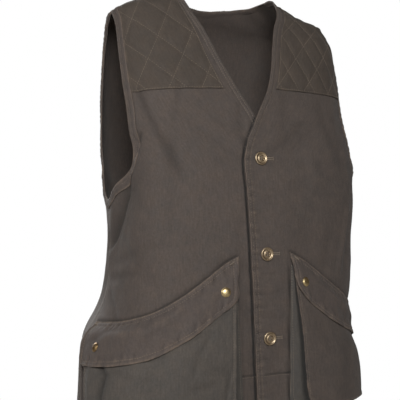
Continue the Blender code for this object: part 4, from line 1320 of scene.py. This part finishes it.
def make_armhole_band(side):
    """Faced band all round one armhole: up the front and down the back, full at its free edge."""
    hand = HANDS[side]
    loop = np.concatenate([band_places(False, BAND_SHARES), band_places(True, BAND_SHARES)[::-1][1:]])
    loop[-1] = loop[0]
    loop = handed(loop, hand)
    inset = BAND_SHARES * ARMHOLE_BAND
    lift = LAY_GAP + relief(inset, BAND_RELIEF)
    points, normals = on_form(loop, np.broadcast_to(lift, loop.shape[:2]), hand > 0)
    puckers = pucker(lengths_over(points, 0), inset - 0.006, 0.005, 0.0005)
    points = moved(points, normals, puckers)
    worn = np.maximum(near_line(inset - ARMHOLE_BAND, 0.003), near_line(inset, 0.0022))
    # Pucker crests painted paler and troughs darker: partly rub, partly painted highlight and painted shade
    worn = worn + PUCKER_PAINTED_SHADING * puckers
    piece = cloth("armhole_band_" + side, [{"points": points, "normals": normals, "worn": worn}],
                  BAND_WALL, 1, "trim_canvas")
    for column in np.searchsorted(BAND_SHARES, BAND_SEAMS):
        THREADS["band"].sew(points[:, column] + normals[:, column] * BAND_WALL, normals[:, column])
    return piece


def arc_from_centre(angle, height):
    """Distance round the form from the centre front to a place."""
    share = np.linspace(0.0, 1.0, 40)
    line = plain_form(np.abs(angle)[..., None] * share, height[..., None] + 0 * share)
    return np.linalg.norm(np.diff(line, axis=-2), axis=-1).sum(axis=-1)


def quilt_phases(side, places):
    """Distance to each family of quilting lines, counted in spacings from its first line."""
    across, up = arc_from_centre(places[..., 0], places[..., 1]), places[..., 1]
    return [(up * math.cos(math.radians(slope)) - across * math.sin(math.radians(slope)) - offset) / pitch
            for slope, pitch, offset in QUILTING[side]]


def make_shoulder_patch(side):
    """Quilted patch over one yoke: full between its quilting lines and sunk along them."""
    hand = HANDS[side]
    starts = upper_places(front_edge_line(hand), YOKE_INNER, PATCH_ROWS)
    ends = upper_places(side_line(False), YOKE_OUTER, PATCH_ROWS)
    margins = NECK_MARGINS[:, 0], NECK_MARGINS[:, 1 if hand < 0 else 2]
    places = block(starts, ends, False, lambda line: np.linspace(
        np.interp(line[0, 1], *margins), line_length(line) - 0.0005, PATCH_ROWS))
    phases = quilt_phases(side, places)
    puff = np.ones(places.shape[:2])
    for phase, (_, pitch, _) in zip(phases, QUILTING[side]):
        puff = puff * (1 - near_line(np.abs((phase + 0.5) % 1.0 - 0.5) * pitch, QUILT_GROOVE))
    flat = plain_form(places[..., 0], places[..., 1])
    in_by = lengths_over(flat, 1)
    rim = np.minimum.reduce([lengths_over(flat, 0), in_by, in_by[:, -1:] - in_by])
    puff = puff * ease(rim / 0.012)
    points, normals = on_form(handed(places, hand), LAY_GAP + 0.0001, hand > 0)
    wall = PATCH_WALL + QUILT_RISE * puff - 0.0004 * near_line(rim - 0.0022, 0.0011)
    outer = moved(points, normals, wall)
    worn = np.maximum(near_line(rim, 0.003), 0.45 * (1 - puff) * (rim > 0.004))
    piece = cloth("shoulder_patch_" + side, [{"points": points, "normals": normals, "worn": worn,
                                              "wall": wall / PATCH_WALL}], PATCH_WALL, 1, "patch_canvas")
    for phase in phases:
        for number in range(int(np.ceil(phase.min())), int(np.floor(phase.max())) + 1):
            THREADS["patch"].sew(*level_line(phase, number, outer, normals), width=0.0009, height=0.0005)
    for seam in (1, (slice(None), 1)):
        THREADS["patch"].sew(outer[seam], normals[seam])
    return piece


# Pockets

POUCH_ACROSS = denser_at_ends(110)
POUCH_UP = denser_at_ends(72)
FLAP_ACROSS = denser_at_ends(150)
FLAP_UP = denser_at_ends(48)


def flap_seam(angle):
    """Height of the sewn top edge of a flap at an angle."""
    return smooth(FLAP_SEAM, 1, np.degrees(np.abs(angle)))


def pouch_floor(along):
    """Height of a pouch's floor, rounded up at its two corners as quarter circles."""
    from_end = np.minimum(along, 1 - along) * POCKET_WIDTH
    inside = np.clip(POCKET_CORNER - from_end, 0.0, POCKET_CORNER)
    return POCKET_FLOOR + POCKET_CORNER - np.sqrt(POCKET_CORNER**2 - inside**2)


def pocket_inner(side, height):
    """Angle of a pocket's inner seam at a height."""
    mouth, floor = POCKET_INNER[side]
    share = (POCKET_TOP - height) / (POCKET_TOP - POCKET_FLOOR)
    return angle_at(mouth + (floor - mouth) * np.clip(share, 0.0, 1.0), height)


def pouch_place(side, along, down, inset_share):
    """Angle and height of a pouch point, by its shares of the width and of the drop."""
    inset = smooth(BELLOWS, 2, down) * inset_share
    level = POCKET_TOP + (POCKET_FLOOR - POCKET_TOP) * down
    inner = pocket_inner(side, level) + inset / MEAN_RADIUS
    outer = math.radians(POCKET_OUTER) - inset / MEAN_RADIUS
    angle = inner + along * (outer - inner)
    mouth = flap_seam(angle) - POCKET_MOUTH
    floor = pouch_floor(along) + inset_share * BELLOWS[-1, 2] * 0.7
    return angle, mouth + down * (floor - mouth)


def stand_off(side, angle, height):
    """How far a pouch stands off its panel at a place."""
    inner = pocket_inner(side, height)
    along = np.clip((angle - inner) / (math.radians(POCKET_OUTER) - inner), 0.0, 1.0)
    mouth = flap_seam(angle) - POCKET_MOUTH
    down = np.clip((height - mouth) / (POCKET_FLOOR - mouth), 0.0, 1.0)
    belly = POCKET_BELLY * np.sin(math.pi * along) * np.sin(math.pi * down)
    rest = smooth(BELLOWS, 1, down) - POCKET_LAY
    at_inner, added, at_outer = STAND_SHARES[side]
    share = at_inner + (at_outer - at_inner) * along + added * np.sin(math.pi * along)
    return POCKET_LAY + rest * share + belly


# Folds of the pouches: rise, half width on the left and on the right of a path, then the path's
# places as shares of the pouch's width and drop
POUCH_FOLDS = {
    "right": (
        (-0.0016, 0.0050, 0.0050, (0.163, 0.388), (0.207, 0.454), (0.233, 0.554)),
        (-0.0012, 0.0050, 0.0050, (0.0, 0.746), (0.127, 0.625)),
        (-0.0015, 0.0045, 0.0045, (0.03, 0.75), (0.057, 0.883)),
        (-0.0062, 0.0090, 0.0065, (0.823, 0.379), (0.773, 0.496), (0.813, 0.762), (0.80, 1.0)),
        (0.0028, 0.0090, 0.0090, (0.903, 0.425), (0.92, 0.833)),
        (-0.0012, 0.0080, 0.0080, (0.70, 0.45), (0.60, 0.537)),
        (-0.0012, 0.0050, 0.0050, (0.22, 0.733), (0.153, 0.733)),
        (-0.0009, 0.0100, 0.0100, (0.493, 0.258), (0.43, 0.392)),
        (-0.0012, 0.0100, 0.0140, (0.50, 0.60), (0.46, 0.95)),
        (0.0010, 0.0120, 0.0120, (0.34, 0.50), (0.30, 0.92)),
    ),
    "left": (
        (-0.0009, 0.0060, 0.0060, (0.137, 0.396), (0.153, 0.517)),
        (-0.0016, 0.0120, 0.0120, (0.30, 0.45), (0.24, 0.98)),
        (0.0014, 0.0140, 0.0140, (0.45, 0.50), (0.42, 0.98)),
        (-0.0015, 0.0110, 0.0110, (0.60, 0.55), (0.50, 0.95)),
        (-0.0020, 0.0120, 0.0120, (0.85, 0.40), (0.80, 1.0)),
    ),
}


def down_the_pouch(along, down, place):
    """Distances across and up from a place to points of a pouch, from their shares."""
    return (along - place[0]) * POCKET_WIDTH, (place[1] - down) * POUCH_DROP


def pouch_sag(side, along, down):
    """Folds of a pouch, none at its sewn edges."""
    rim = np.minimum(np.minimum(along, 1 - along) * POCKET_WIDTH, (1 - down) * POUCH_DROP)
    return folds_over(along, down, POUCH_FOLDS[side], down_the_pouch) * ease(rim / 0.012)


def make_pouch(side):
    """Front wall of a bellows pocket, edge-stitched to its gusset."""
    along, down = np.meshgrid(POUCH_ACROSS, 1 - POUCH_UP)
    angle, height = pouch_place(side, along, down, 1.0)
    rim = np.minimum(np.minimum(along, 1 - along) * POCKET_WIDTH, height - pouch_floor(along))
    sag = pouch_sag(side, along, down)
    round_seam = np.where(along < 0.04, down * POUCH_DROP,
                          np.where(along > 0.96, 0.5 + down * POUCH_DROP, 1.0 + along * POCKET_WIDTH))
    gap = stand_off(side, angle, height) + sag + relief(rim, POUCH_RELIEF)
    gap = gap + pucker(round_seam, rim - 0.007, 0.006, 0.0003)
    points, normals = on_front(side, angle, height, gap)
    normals = grid_normals(points, normals)
    worn = np.maximum(near_line(rim, 0.004), 0.4 * near_line(rim - POUCH_SEAM, 0.0025))
    # Painted shade in the hollows of the pouch's folds
    worn = worn + FOLD_PAINTED_SHADING * np.minimum(sag, 0.0)
    piece = cloth("pocket_pouch_" + side, [{"points": points, "normals": normals, "worn": worn}],
                  POUCH_WALL, 1, "canvas", POUCH_LIT_FINISHES[side])
    outer = points + normals * POUCH_WALL
    column = nearest(POUCH_ACROSS * POCKET_WIDTH, POUCH_SEAM)
    row = nearest(POUCH_UP * POUCH_DROP, POUCH_SEAM)
    down_side, along_floor = slice(row, None), slice(column, -column)
    for seam in ((down_side, column), (down_side, -1 - column), (row, along_floor)):
        THREADS["pocket"].sew(outer[seam], normals[seam])
    return piece


def make_gusset(side):
    """Bellows strip round a pouch's sides and floor: a sharp fold inwards along its middle."""
    ends, runs = denser_at_ends(100), np.linspace(0, 1, 64)
    down = np.concatenate([runs, np.ones(len(ends) - 2), runs[::-1]])
    along = np.concatenate([np.zeros(len(runs) - 1), ends, np.ones(len(runs) - 1)])
    seam_angle, seam_height = pouch_place(side, along, down, 0.0)
    top_angle, top_height = pouch_place(side, along, down, 1.0)
    toward = np.where(along < 0.01, 1.0, np.where(along > 0.99, -1.0, 0.0))
    top_angle = top_angle + toward * GUSSET_INSET / MEAN_RADIUS
    top_height = top_height + GUSSET_INSET * (down > 0.99)
    seam, normals = on_front(side, seam_angle, seam_height, GUSSET_GAP)
    top, _ = on_front(side, top_angle, top_height, stand_off(side, top_angle, top_height) - GUSSET_GAP)
    inward = unit(HANDS[side] * np.cross(normals, np.gradient(seam, axis=0)))
    reach = np.linalg.norm(top - seam, axis=-1)
    share = GUSSET_SHARES
    fold = (1 - np.abs(2 * share - 1) ** 1.35) * BELLOWS_FOLD
    ripple = 0.0007 * np.sin(lengths_along(seam) * 90.0) * np.sin(lengths_along(seam) * 37.0 + 1.0)
    depth = fold[None, :] * reach[:, None] + ripple[:, None] * np.sin(math.pi * share)[None, :]
    grid = seam[:, None] * (1 - share[:, None]) + top[:, None] * share[:, None]
    grid = grid + inward[:, None] * depth[..., None]
    outward = np.broadcast_to(-inward[:, None], grid.shape)
    # Rubbed pale along the seam by the panel; painted shade over the half toward the pouch, under its edge
    worn = np.broadcast_to(near_line(share, 0.06) - 1.1 * near_line(share - 0.82, 0.30), grid.shape[:2])
    piece = cloth("pocket_gusset_" + side, [{"points": grid, "normals": outward, "worn": worn}],
                  GUSSET_WALL, 0, "gusset_canvas")
    out = grid_normals(grid, outward)
    THREADS["pocket"].sew(grid[:, 2] + out[:, 2] * GUSSET_WALL / 2, out[:, 2])
    return piece


def corner_cut(from_end, reach, rise):
    """How much a rounded corner takes off an edge at a distance from its end: a quarter oval."""
    inside = np.clip(1.0 - from_end / reach, 0.0, 1.0)
    return rise * (1.0 - np.sqrt(1.0 - inside**2))


def flap_depth(side, along):
    """Depth of a flap at a share of its width, less its taper and its two rounded lower corners."""
    reach, rise = FLAP_INNER_CORNER[side]
    inner = corner_cut(along * FLAP_WIDTH, reach, rise)
    outer = corner_cut((1 - along) * FLAP_WIDTH, FLAP_CORNER, FLAP_CORNER)
    taper = FLAP_TAPER[side] * ease((along - 0.10) / 0.40)
    return FLAP_DEPTH - taper - inner - outer


# Folds of the flaps: rise, half width on the left and on the right of a path, then the path's
# places as share of the flap's width and distance below its sewn edge
FLAP_FOLDS = {
    "right": (
        (-0.0013, 0.0045, 0.0045, (0.02, 0.013), (0.23, 0.013)),
        (0.0015, 0.0070, 0.0070, (0.32, 0.018), (0.75, 0.025)),
        (-0.0010, 0.0060, 0.0060, (0.24, 0.022), (0.50, 0.034)),
        (0.0008, 0.0080, 0.0080, (0.10, 0.032), (0.30, 0.046)),
        (-0.0010, 0.0060, 0.0060, (0.80, 0.020), (0.94, 0.036)),
    ),
    "left": (
        (-0.0010, 0.0050, 0.0050, (0.04, 0.012), (0.28, 0.015)),
        (0.0012, 0.0070, 0.0070, (0.20, 0.022), (0.70, 0.026)),
        (-0.0009, 0.0060, 0.0060, (0.30, 0.034), (0.60, 0.042)),
    ),
}


def down_the_flap(along, drop, place):
    """Distances across and up from a place to points of a flap."""
    return (along - place[0]) * FLAP_WIDTH, place[1] - drop


def flap_relief(side, along, drop, from_foot, cover):
    """Gap under a flap, and its wear and painted shading.

    From its seam the flap rises to the gap that covers the pouch. It is waved, folded, puckered
    beside its stitching, full at its rim and sunk at its seams. Its edges are rubbed. Its ridges and
    pucker crests are painted paler, as rubbed and as a painted highlight, and painted shade darkens
    its hollows and pucker troughs.
    """
    across = along * FLAP_WIDTH
    rim = np.minimum(np.minimum(along, 1 - along) * FLAP_WIDTH, from_foot)
    wave = 0.0009 * np.sin(along * 31.0 + 0.6) * ease(drop / FLAP_DEPTH) + 0.0005 * np.sin(along * 57.0)
    folds = folds_over(along, drop, FLAP_FOLDS[side], down_the_flap)
    puckers = pucker(across, drop - 0.009, 0.006, 0.0006)
    puckers = puckers + pucker(across + 0.31, from_foot - 0.0085, 0.007, 0.0006)
    gap = FLAP_LAY + (cover - FLAP_LAY) * ease(drop / FLAP_RISE_OVER) + wave * ease(drop / 0.03)
    gap = gap + folds + puckers + relief(drop, FLAP_TOP_RELIEF) + relief(rim, FLAP_RIM_RELIEF)
    worn = np.maximum.reduce([near_line(rim, 0.003), near_line(drop, 0.003),
                              0.5 * near_line(rim - FLAP_RIM_SEAM, 0.002)])
    # Painted shade in the folds' hollows, and ridges painted paler, as rubbed and as a painted highlight
    worn = worn + FOLD_PAINTED_SHADING * (np.minimum(folds, 0.0) + 2.0 * np.maximum(folds, 0.0))
    return gap, worn + PUCKER_PAINTED_SHADING * puckers


def make_flap(side):
    """Flap sewn along its top edge: flat there, over a soft ridge, and hanging over the pouch.

    Gives the piece, and its outer points and normals for the snaps.
    """
    along, down = np.meshgrid(FLAP_ACROSS, 1 - FLAP_UP)
    at_seam, at_foot = FLAP_INNER[side]
    inner = angle_at(at_seam + (at_foot - at_seam) * down, FLAP_LEVEL)
    angle = inner + along * (math.radians(FLAP_OUTER) - inner)
    depth = flap_depth(side, along)
    drop = down * depth
    height = flap_seam(angle) - drop
    slope = np.gradient(depth[0], along[0] * FLAP_WIDTH)
    from_foot = (depth - drop) / np.sqrt(1 + slope**2)
    cover = stand_off(side, angle, height) + POUCH_WALL + FLAP_CLEAR
    gap, worn = flap_relief(side, along, drop, from_foot, cover)
    points, normals = on_front(side, angle, height, gap)
    normals = grid_normals(points, normals)
    piece = cloth("pocket_flap_" + side, [{"points": points, "normals": normals, "worn": worn}],
                  FLAP_WALL, 1, "trim_canvas")
    outer = points + normals * FLAP_WALL
    column = nearest(FLAP_ACROSS * FLAP_WIDTH, FLAP_RIM_SEAM)
    for field, level, left_out in ((drop, FLAP_SEAMS[0], 3), (drop, FLAP_SEAMS[1], 3),
                                   (from_foot, FLAP_RIM_SEAM, column)):
        inside = slice(left_out, -left_out)
        THREADS["flap"].sew(*level_line(field[:, inside], level, outer[:, inside], normals[:, inside]))
    for at in (column, -1 - column):
        seam = slice(nearest(from_foot[:, at], FLAP_RIM_SEAM), -2)
        THREADS["flap"].sew(outer[seam, at], normals[seam, at])
    for share in (0.030, 0.972):
        bar_tack(outer, normals, share)
    return piece, outer, normals


def bar_tack(outer, normals, share):
    """Close short stitches side by side across two long ones, at a flap's top corner."""
    column = nearest(FLAP_ACROSS, share)
    row = -1 - nearest(FLAP_UP * FLAP_DEPTH, 0.0052)
    centre, out = outer[row, column], normals[row, column]
    way = unit(outer[row, column + 2] - outer[row, column - 2])
    at = np.linspace(-0.0055, 0.0055, 13)[:, None]
    centres = centre + way * at + out * 0.0003
    THREADS["flap"].place(centres, alike(np.cross(out, way), at), alike(out, at), 0.0034, 0.0011, 0.0008)


def grid_spot(outer, normals, along, down):
    """Point and normal at shares of a flap's width and depth."""
    column = np.interp(along, FLAP_ACROSS, np.arange(len(FLAP_ACROSS)))
    row = np.interp(1 - down, FLAP_UP, np.arange(len(FLAP_UP)))
    low, left = int(row), int(column)
    up, right = row - low, column - left
    spots = []
    for grid in (outer, normals):
        lower, upper = (grid[at, left] * (1 - right) + grid[at, left + 1] * right for at in (low, low + 1))
        spots.append(lower * (1 - up) + upper * up)
    return spots[0], unit(spots[1])


# Metal trims

def turned_mesh(name, profile, steps, point, normal, dent=None):
    """A profile of radius and height turned round an axis, set on a face along its normal.

    Each ring is the profile's radius at all angles. A dent lowers points near given spots.
    """
    turn = np.linspace(0.0, 2 * math.pi, steps, endpoint=False)
    x = profile[:, :1] * np.cos(turn)
    y = profile[:, :1] * np.sin(turn)
    z = np.repeat(profile[:, 1:], steps, axis=1)
    if dent:
        z = z - dent(x, y)
    basis = np.array(Vector(normal).to_track_quat("Z", "X").to_matrix())
    points = point + np.stack([x, y, z], axis=-1) @ basis.T
    closed = np.concatenate([points, points[:, :1]], axis=1)
    mesh = bpy.data.meshes.new(name)
    mesh.from_pydata(closed.reshape(-1, 3).tolist(), [], cells(*closed.shape[:2]).tolist())
    return weld(mesh, face_out=True), basis


def button_dents(x, y):
    """Four thread holes: a steep round pit at each."""
    depth = np.zeros_like(x)
    for hole_x in (-BUTTON_HOLE, BUTTON_HOLE):
        for hole_y in (-BUTTON_HOLE, BUTTON_HOLE):
            depth = depth + 0.0016 * np.exp(-((np.hypot(x - hole_x, y - hole_y) / 0.00098) ** 6))
    return depth


def make_button(place):
    """Metal button: domed rim, sunk ring, flat middle with four holes, and its thread."""
    points, normals = on_form(np.array([[0.0, BUTTON_HEIGHTS[place]]]), 0.0005, True)
    point, normal = points[0], normals[0]
    middle = [(radius, BUTTON_RING[0][1]) for radius in np.linspace(AXIS, BUTTON_RING[0][0], 22)]
    profile = np.vstack([middle, through(BUTTON_RING, 40)[1:], [(0.0040, 0.0), (AXIS, 0.0)]])
    name = "button_" + place
    mesh, basis = turned_mesh(name + "_brass", profile, 72, point, normal, button_dents)
    make_piece(name + "_brass", mesh, "button_brass", [name])
    across, up = basis[:, 0], basis[:, 1]
    holes = [-BUTTON_HOLE, BUTTON_HOLE]
    centres = np.array([point + across * (hole + offset) + normal * 0.00215
                        for offset in np.linspace(-0.00055, 0.00055, 3) for hole in holes])
    THREADS["button"].place(centres, alike(up, centres), alike(normal, centres), 0.0050, 0.0008, 0.0011)


def make_snap(place, outer, normals):
    """Domed snap cap with a fine step round its rim."""
    point, normal = grid_spot(outer, normals, *SNAP_SPOTS[place])
    profile = through(SNAP_PROFILE, 34)
    profile[:, 1] = np.maximum(profile[:, 1], 0.0)
    profile[[0, -1], 0] = AXIS
    name = "snap_" + place + "_cap"
    mesh, _ = turned_mesh(name, profile, 56, point + normal * 0.0001, normal)
    # The near flap's side snap takes the darker copy of the brass: painted shade
    finish = "shaded_snap_brass" if place == "right_side" else "snap_brass"
    make_piece(name, mesh, finish, ["snap_" + place])


def make_buttonhole(place):
    """Worked buttonhole, level, out to the wearer's left of its button: two rows of close
    stitches across a slit, and a bar at each end."""
    height = BUTTON_HEIGHTS[place]
    start, end = BUTTONHOLE
    rows = [(np.linspace(start, end, 27), height + row, (0.0, 0.0, 1.0), 0.0024, 0.0007)
            for row in (-0.0013, 0.0013)]
    bars = [(tip, height + np.linspace(-0.0022, 0.0022, 4), (1.0, 0.0, 0.0), 0.0021, 0.0009)
            for tip in (start, end + 0.0004)]
    for across, level, way, length, rise in rows + bars:
        points, normals = on_form(as_places(angle_at(across, height), level), 0.0001, True)
        THREADS["buttonhole"].place(points, alike(way, points), normals, length, 0.0013, rise)


# Setting

# Lights: name, turn to the wearer's left of the front, rise, distance, size, energy, colour
LIGHTS = (
    ("key", -20.0, 20.0, 3.0, 0.9, 68.0, (0.97, 1.0, 1.0)),
    ("side", -76.0, 20.0, 3.0, 0.9, 19.0, (0.97, 1.0, 1.0)),
    ("behind_right", -174.0, 20.0, 3.0, 1.6, 44.0, (1.0, 1.0, 1.0)),
    ("behind_left", 174.0, 20.0, 3.0, 1.6, 44.0, (1.0, 1.0, 1.0)),
)

# The point that the lights face, the even light all round, and the floor
LIT_MIDDLE = Vector((0.0, 0.0, -0.35))
AMBIENT = 0.065
AMBIENT_TINT = (1.0, 0.80, 0.66)
FLOOR_LEVEL = -0.98
FLOOR_COLOR = (0.42, 0.40, 0.38)

# Camera: the point it was fitted round, its turn, rise and distance from there, the turn and rise
# of its line of sight, its roll, and its focal length in picture widths
CAMERA_TARGET = Vector((0.0, -0.060, -0.318))
CAMERA_PLACE = (-25.0, -2.4)
CAMERA_DISTANCE = 1.4
CAMERA_AIM = (-22.33, -0.96)
CAMERA_ROLL = -1.2
CAMERA_ZOOM = 2.16


def direction(turn, rise):
    """Direction at a turn to the wearer's left of the front and a rise, both in degrees."""
    turn, rise = math.radians(turn), math.radians(rise)
    return Vector((math.sin(turn) * math.cos(rise), -math.cos(turn) * math.cos(rise), math.sin(rise)))


def white_to_camera(tree, plain, seen, end):
    """Show one shader to the camera and another to all other rays."""
    rays = add_node(tree, "LightPath").outputs["Is Camera Ray"]
    mix = add_node(tree, "MixShader", {0: rays, 1: plain.outputs[0], 2: seen.outputs[0]})
    tree.links.new(mix.outputs[0], tree.nodes[end].inputs["Surface"])


def make_floor_finish():
    """Pale matt floor that the camera sees as plain white and that returns little light."""
    pale = bpy.data.materials.new("pale_floor")
    pale.use_nodes = True
    tree = pale.node_tree
    shader = feed(tree, tree.nodes["Principled BSDF"], {"Base Color": tint(FLOOR_COLOR), "Roughness": 0.9})
    white_to_camera(tree, shader, add_node(tree, "Emission"), "Material Output")
    return pale


def make_sky():
    """Even soft light all round, which the camera sees as plain white."""
    world = bpy.data.worlds.new("studio")
    world.use_nodes = True
    tree = world.node_tree
    soft = feed(tree, tree.nodes["Background"], {"Color": tint(AMBIENT_TINT), "Strength": AMBIENT})
    seen = add_node(tree, "Background", {"Color": tint((1.0, 1.0, 1.0))})
    white_to_camera(tree, soft, seen, "World Output")
    return world


def set_stage():
    """Pale floor well below the garment, and soft lights round it."""
    side = np.linspace(-9.0, 9.0, 5)
    x, y = np.meshgrid(side, side)
    grid = np.stack([x, y, np.full_like(x, FLOOR_LEVEL)], axis=-1)
    mesh = bpy.data.meshes.new("floor")
    mesh.from_pydata(grid.reshape(-1, 3).tolist(), [], cells(*x.shape).tolist())
    mesh.materials.append(make_floor_finish())
    floor = bpy.data.objects.new("floor", mesh)
    bpy.context.scene.collection.objects.link(floor)
    for name, turn, rise, distance, size, energy, color in LIGHTS:
        lamp = bpy.data.lights.new(name, "AREA")
        lamp.size = size
        lamp.energy = energy
        lamp.color = color
        placed = bpy.data.objects.new(name, lamp)
        away = direction(turn, rise)
        placed.location = LIT_MIDDLE + away * distance
        placed.rotation_euler = (-away).to_track_quat("-Z", "Y").to_euler()
        bpy.context.scene.collection.objects.link(placed)
    bpy.context.scene.world = make_sky()
    bpy.context.scene.view_settings.view_transform = "Standard"


def set_camera():
    """Camera at the photograph's place: low, in front of the wearer's right side."""
    back = direction(*CAMERA_AIM)
    right = direction(CAMERA_AIM[0] + 90.0, 0.0)
    up = back.cross(right)
    roll = math.radians(CAMERA_ROLL)
    level = right * math.cos(roll) + up * math.sin(roll)
    upright = up * math.cos(roll) - right * math.sin(roll)
    lens = bpy.data.cameras.new("camera")
    lens.sensor_width = 36.0
    lens.lens = lens.sensor_width * CAMERA_ZOOM
    camera = bpy.data.objects.new("camera", lens)
    place = CAMERA_TARGET + direction(*CAMERA_PLACE) * CAMERA_DISTANCE
    camera.matrix_world = Matrix.Translation(place) @ Matrix((level, upright, back)).transposed().to_4x4()
    bpy.context.scene.collection.objects.link(camera)
    bpy.context.scene.camera = camera


def build():
    """Make every piece, then the stitching that holds them. Gives the cloth pieces by name."""
    sheets = {"back": make_back()}
    for side in ("right", "left"):
        sheets["front_" + side] = make_front(side)
        sheets["band_" + side] = make_armhole_band(side)
        sheets["patch_" + side] = make_shoulder_patch(side)
        sheets["pouch_" + side] = make_pouch(side)
        sheets["gusset_" + side] = make_gusset(side)
        sheets["flap_" + side], outer, normals = make_flap(side)
        for end in ("front", "side"):
            make_snap(side + "_" + end, outer, normals)
    for place in BUTTON_HEIGHTS:
        make_buttonhole(place)
        make_button(place)
    for name, thread in THREADS.items():
        thread.finish(name + "_stitching")
    return sheets


sheets = build()
set_stage()
set_camera()
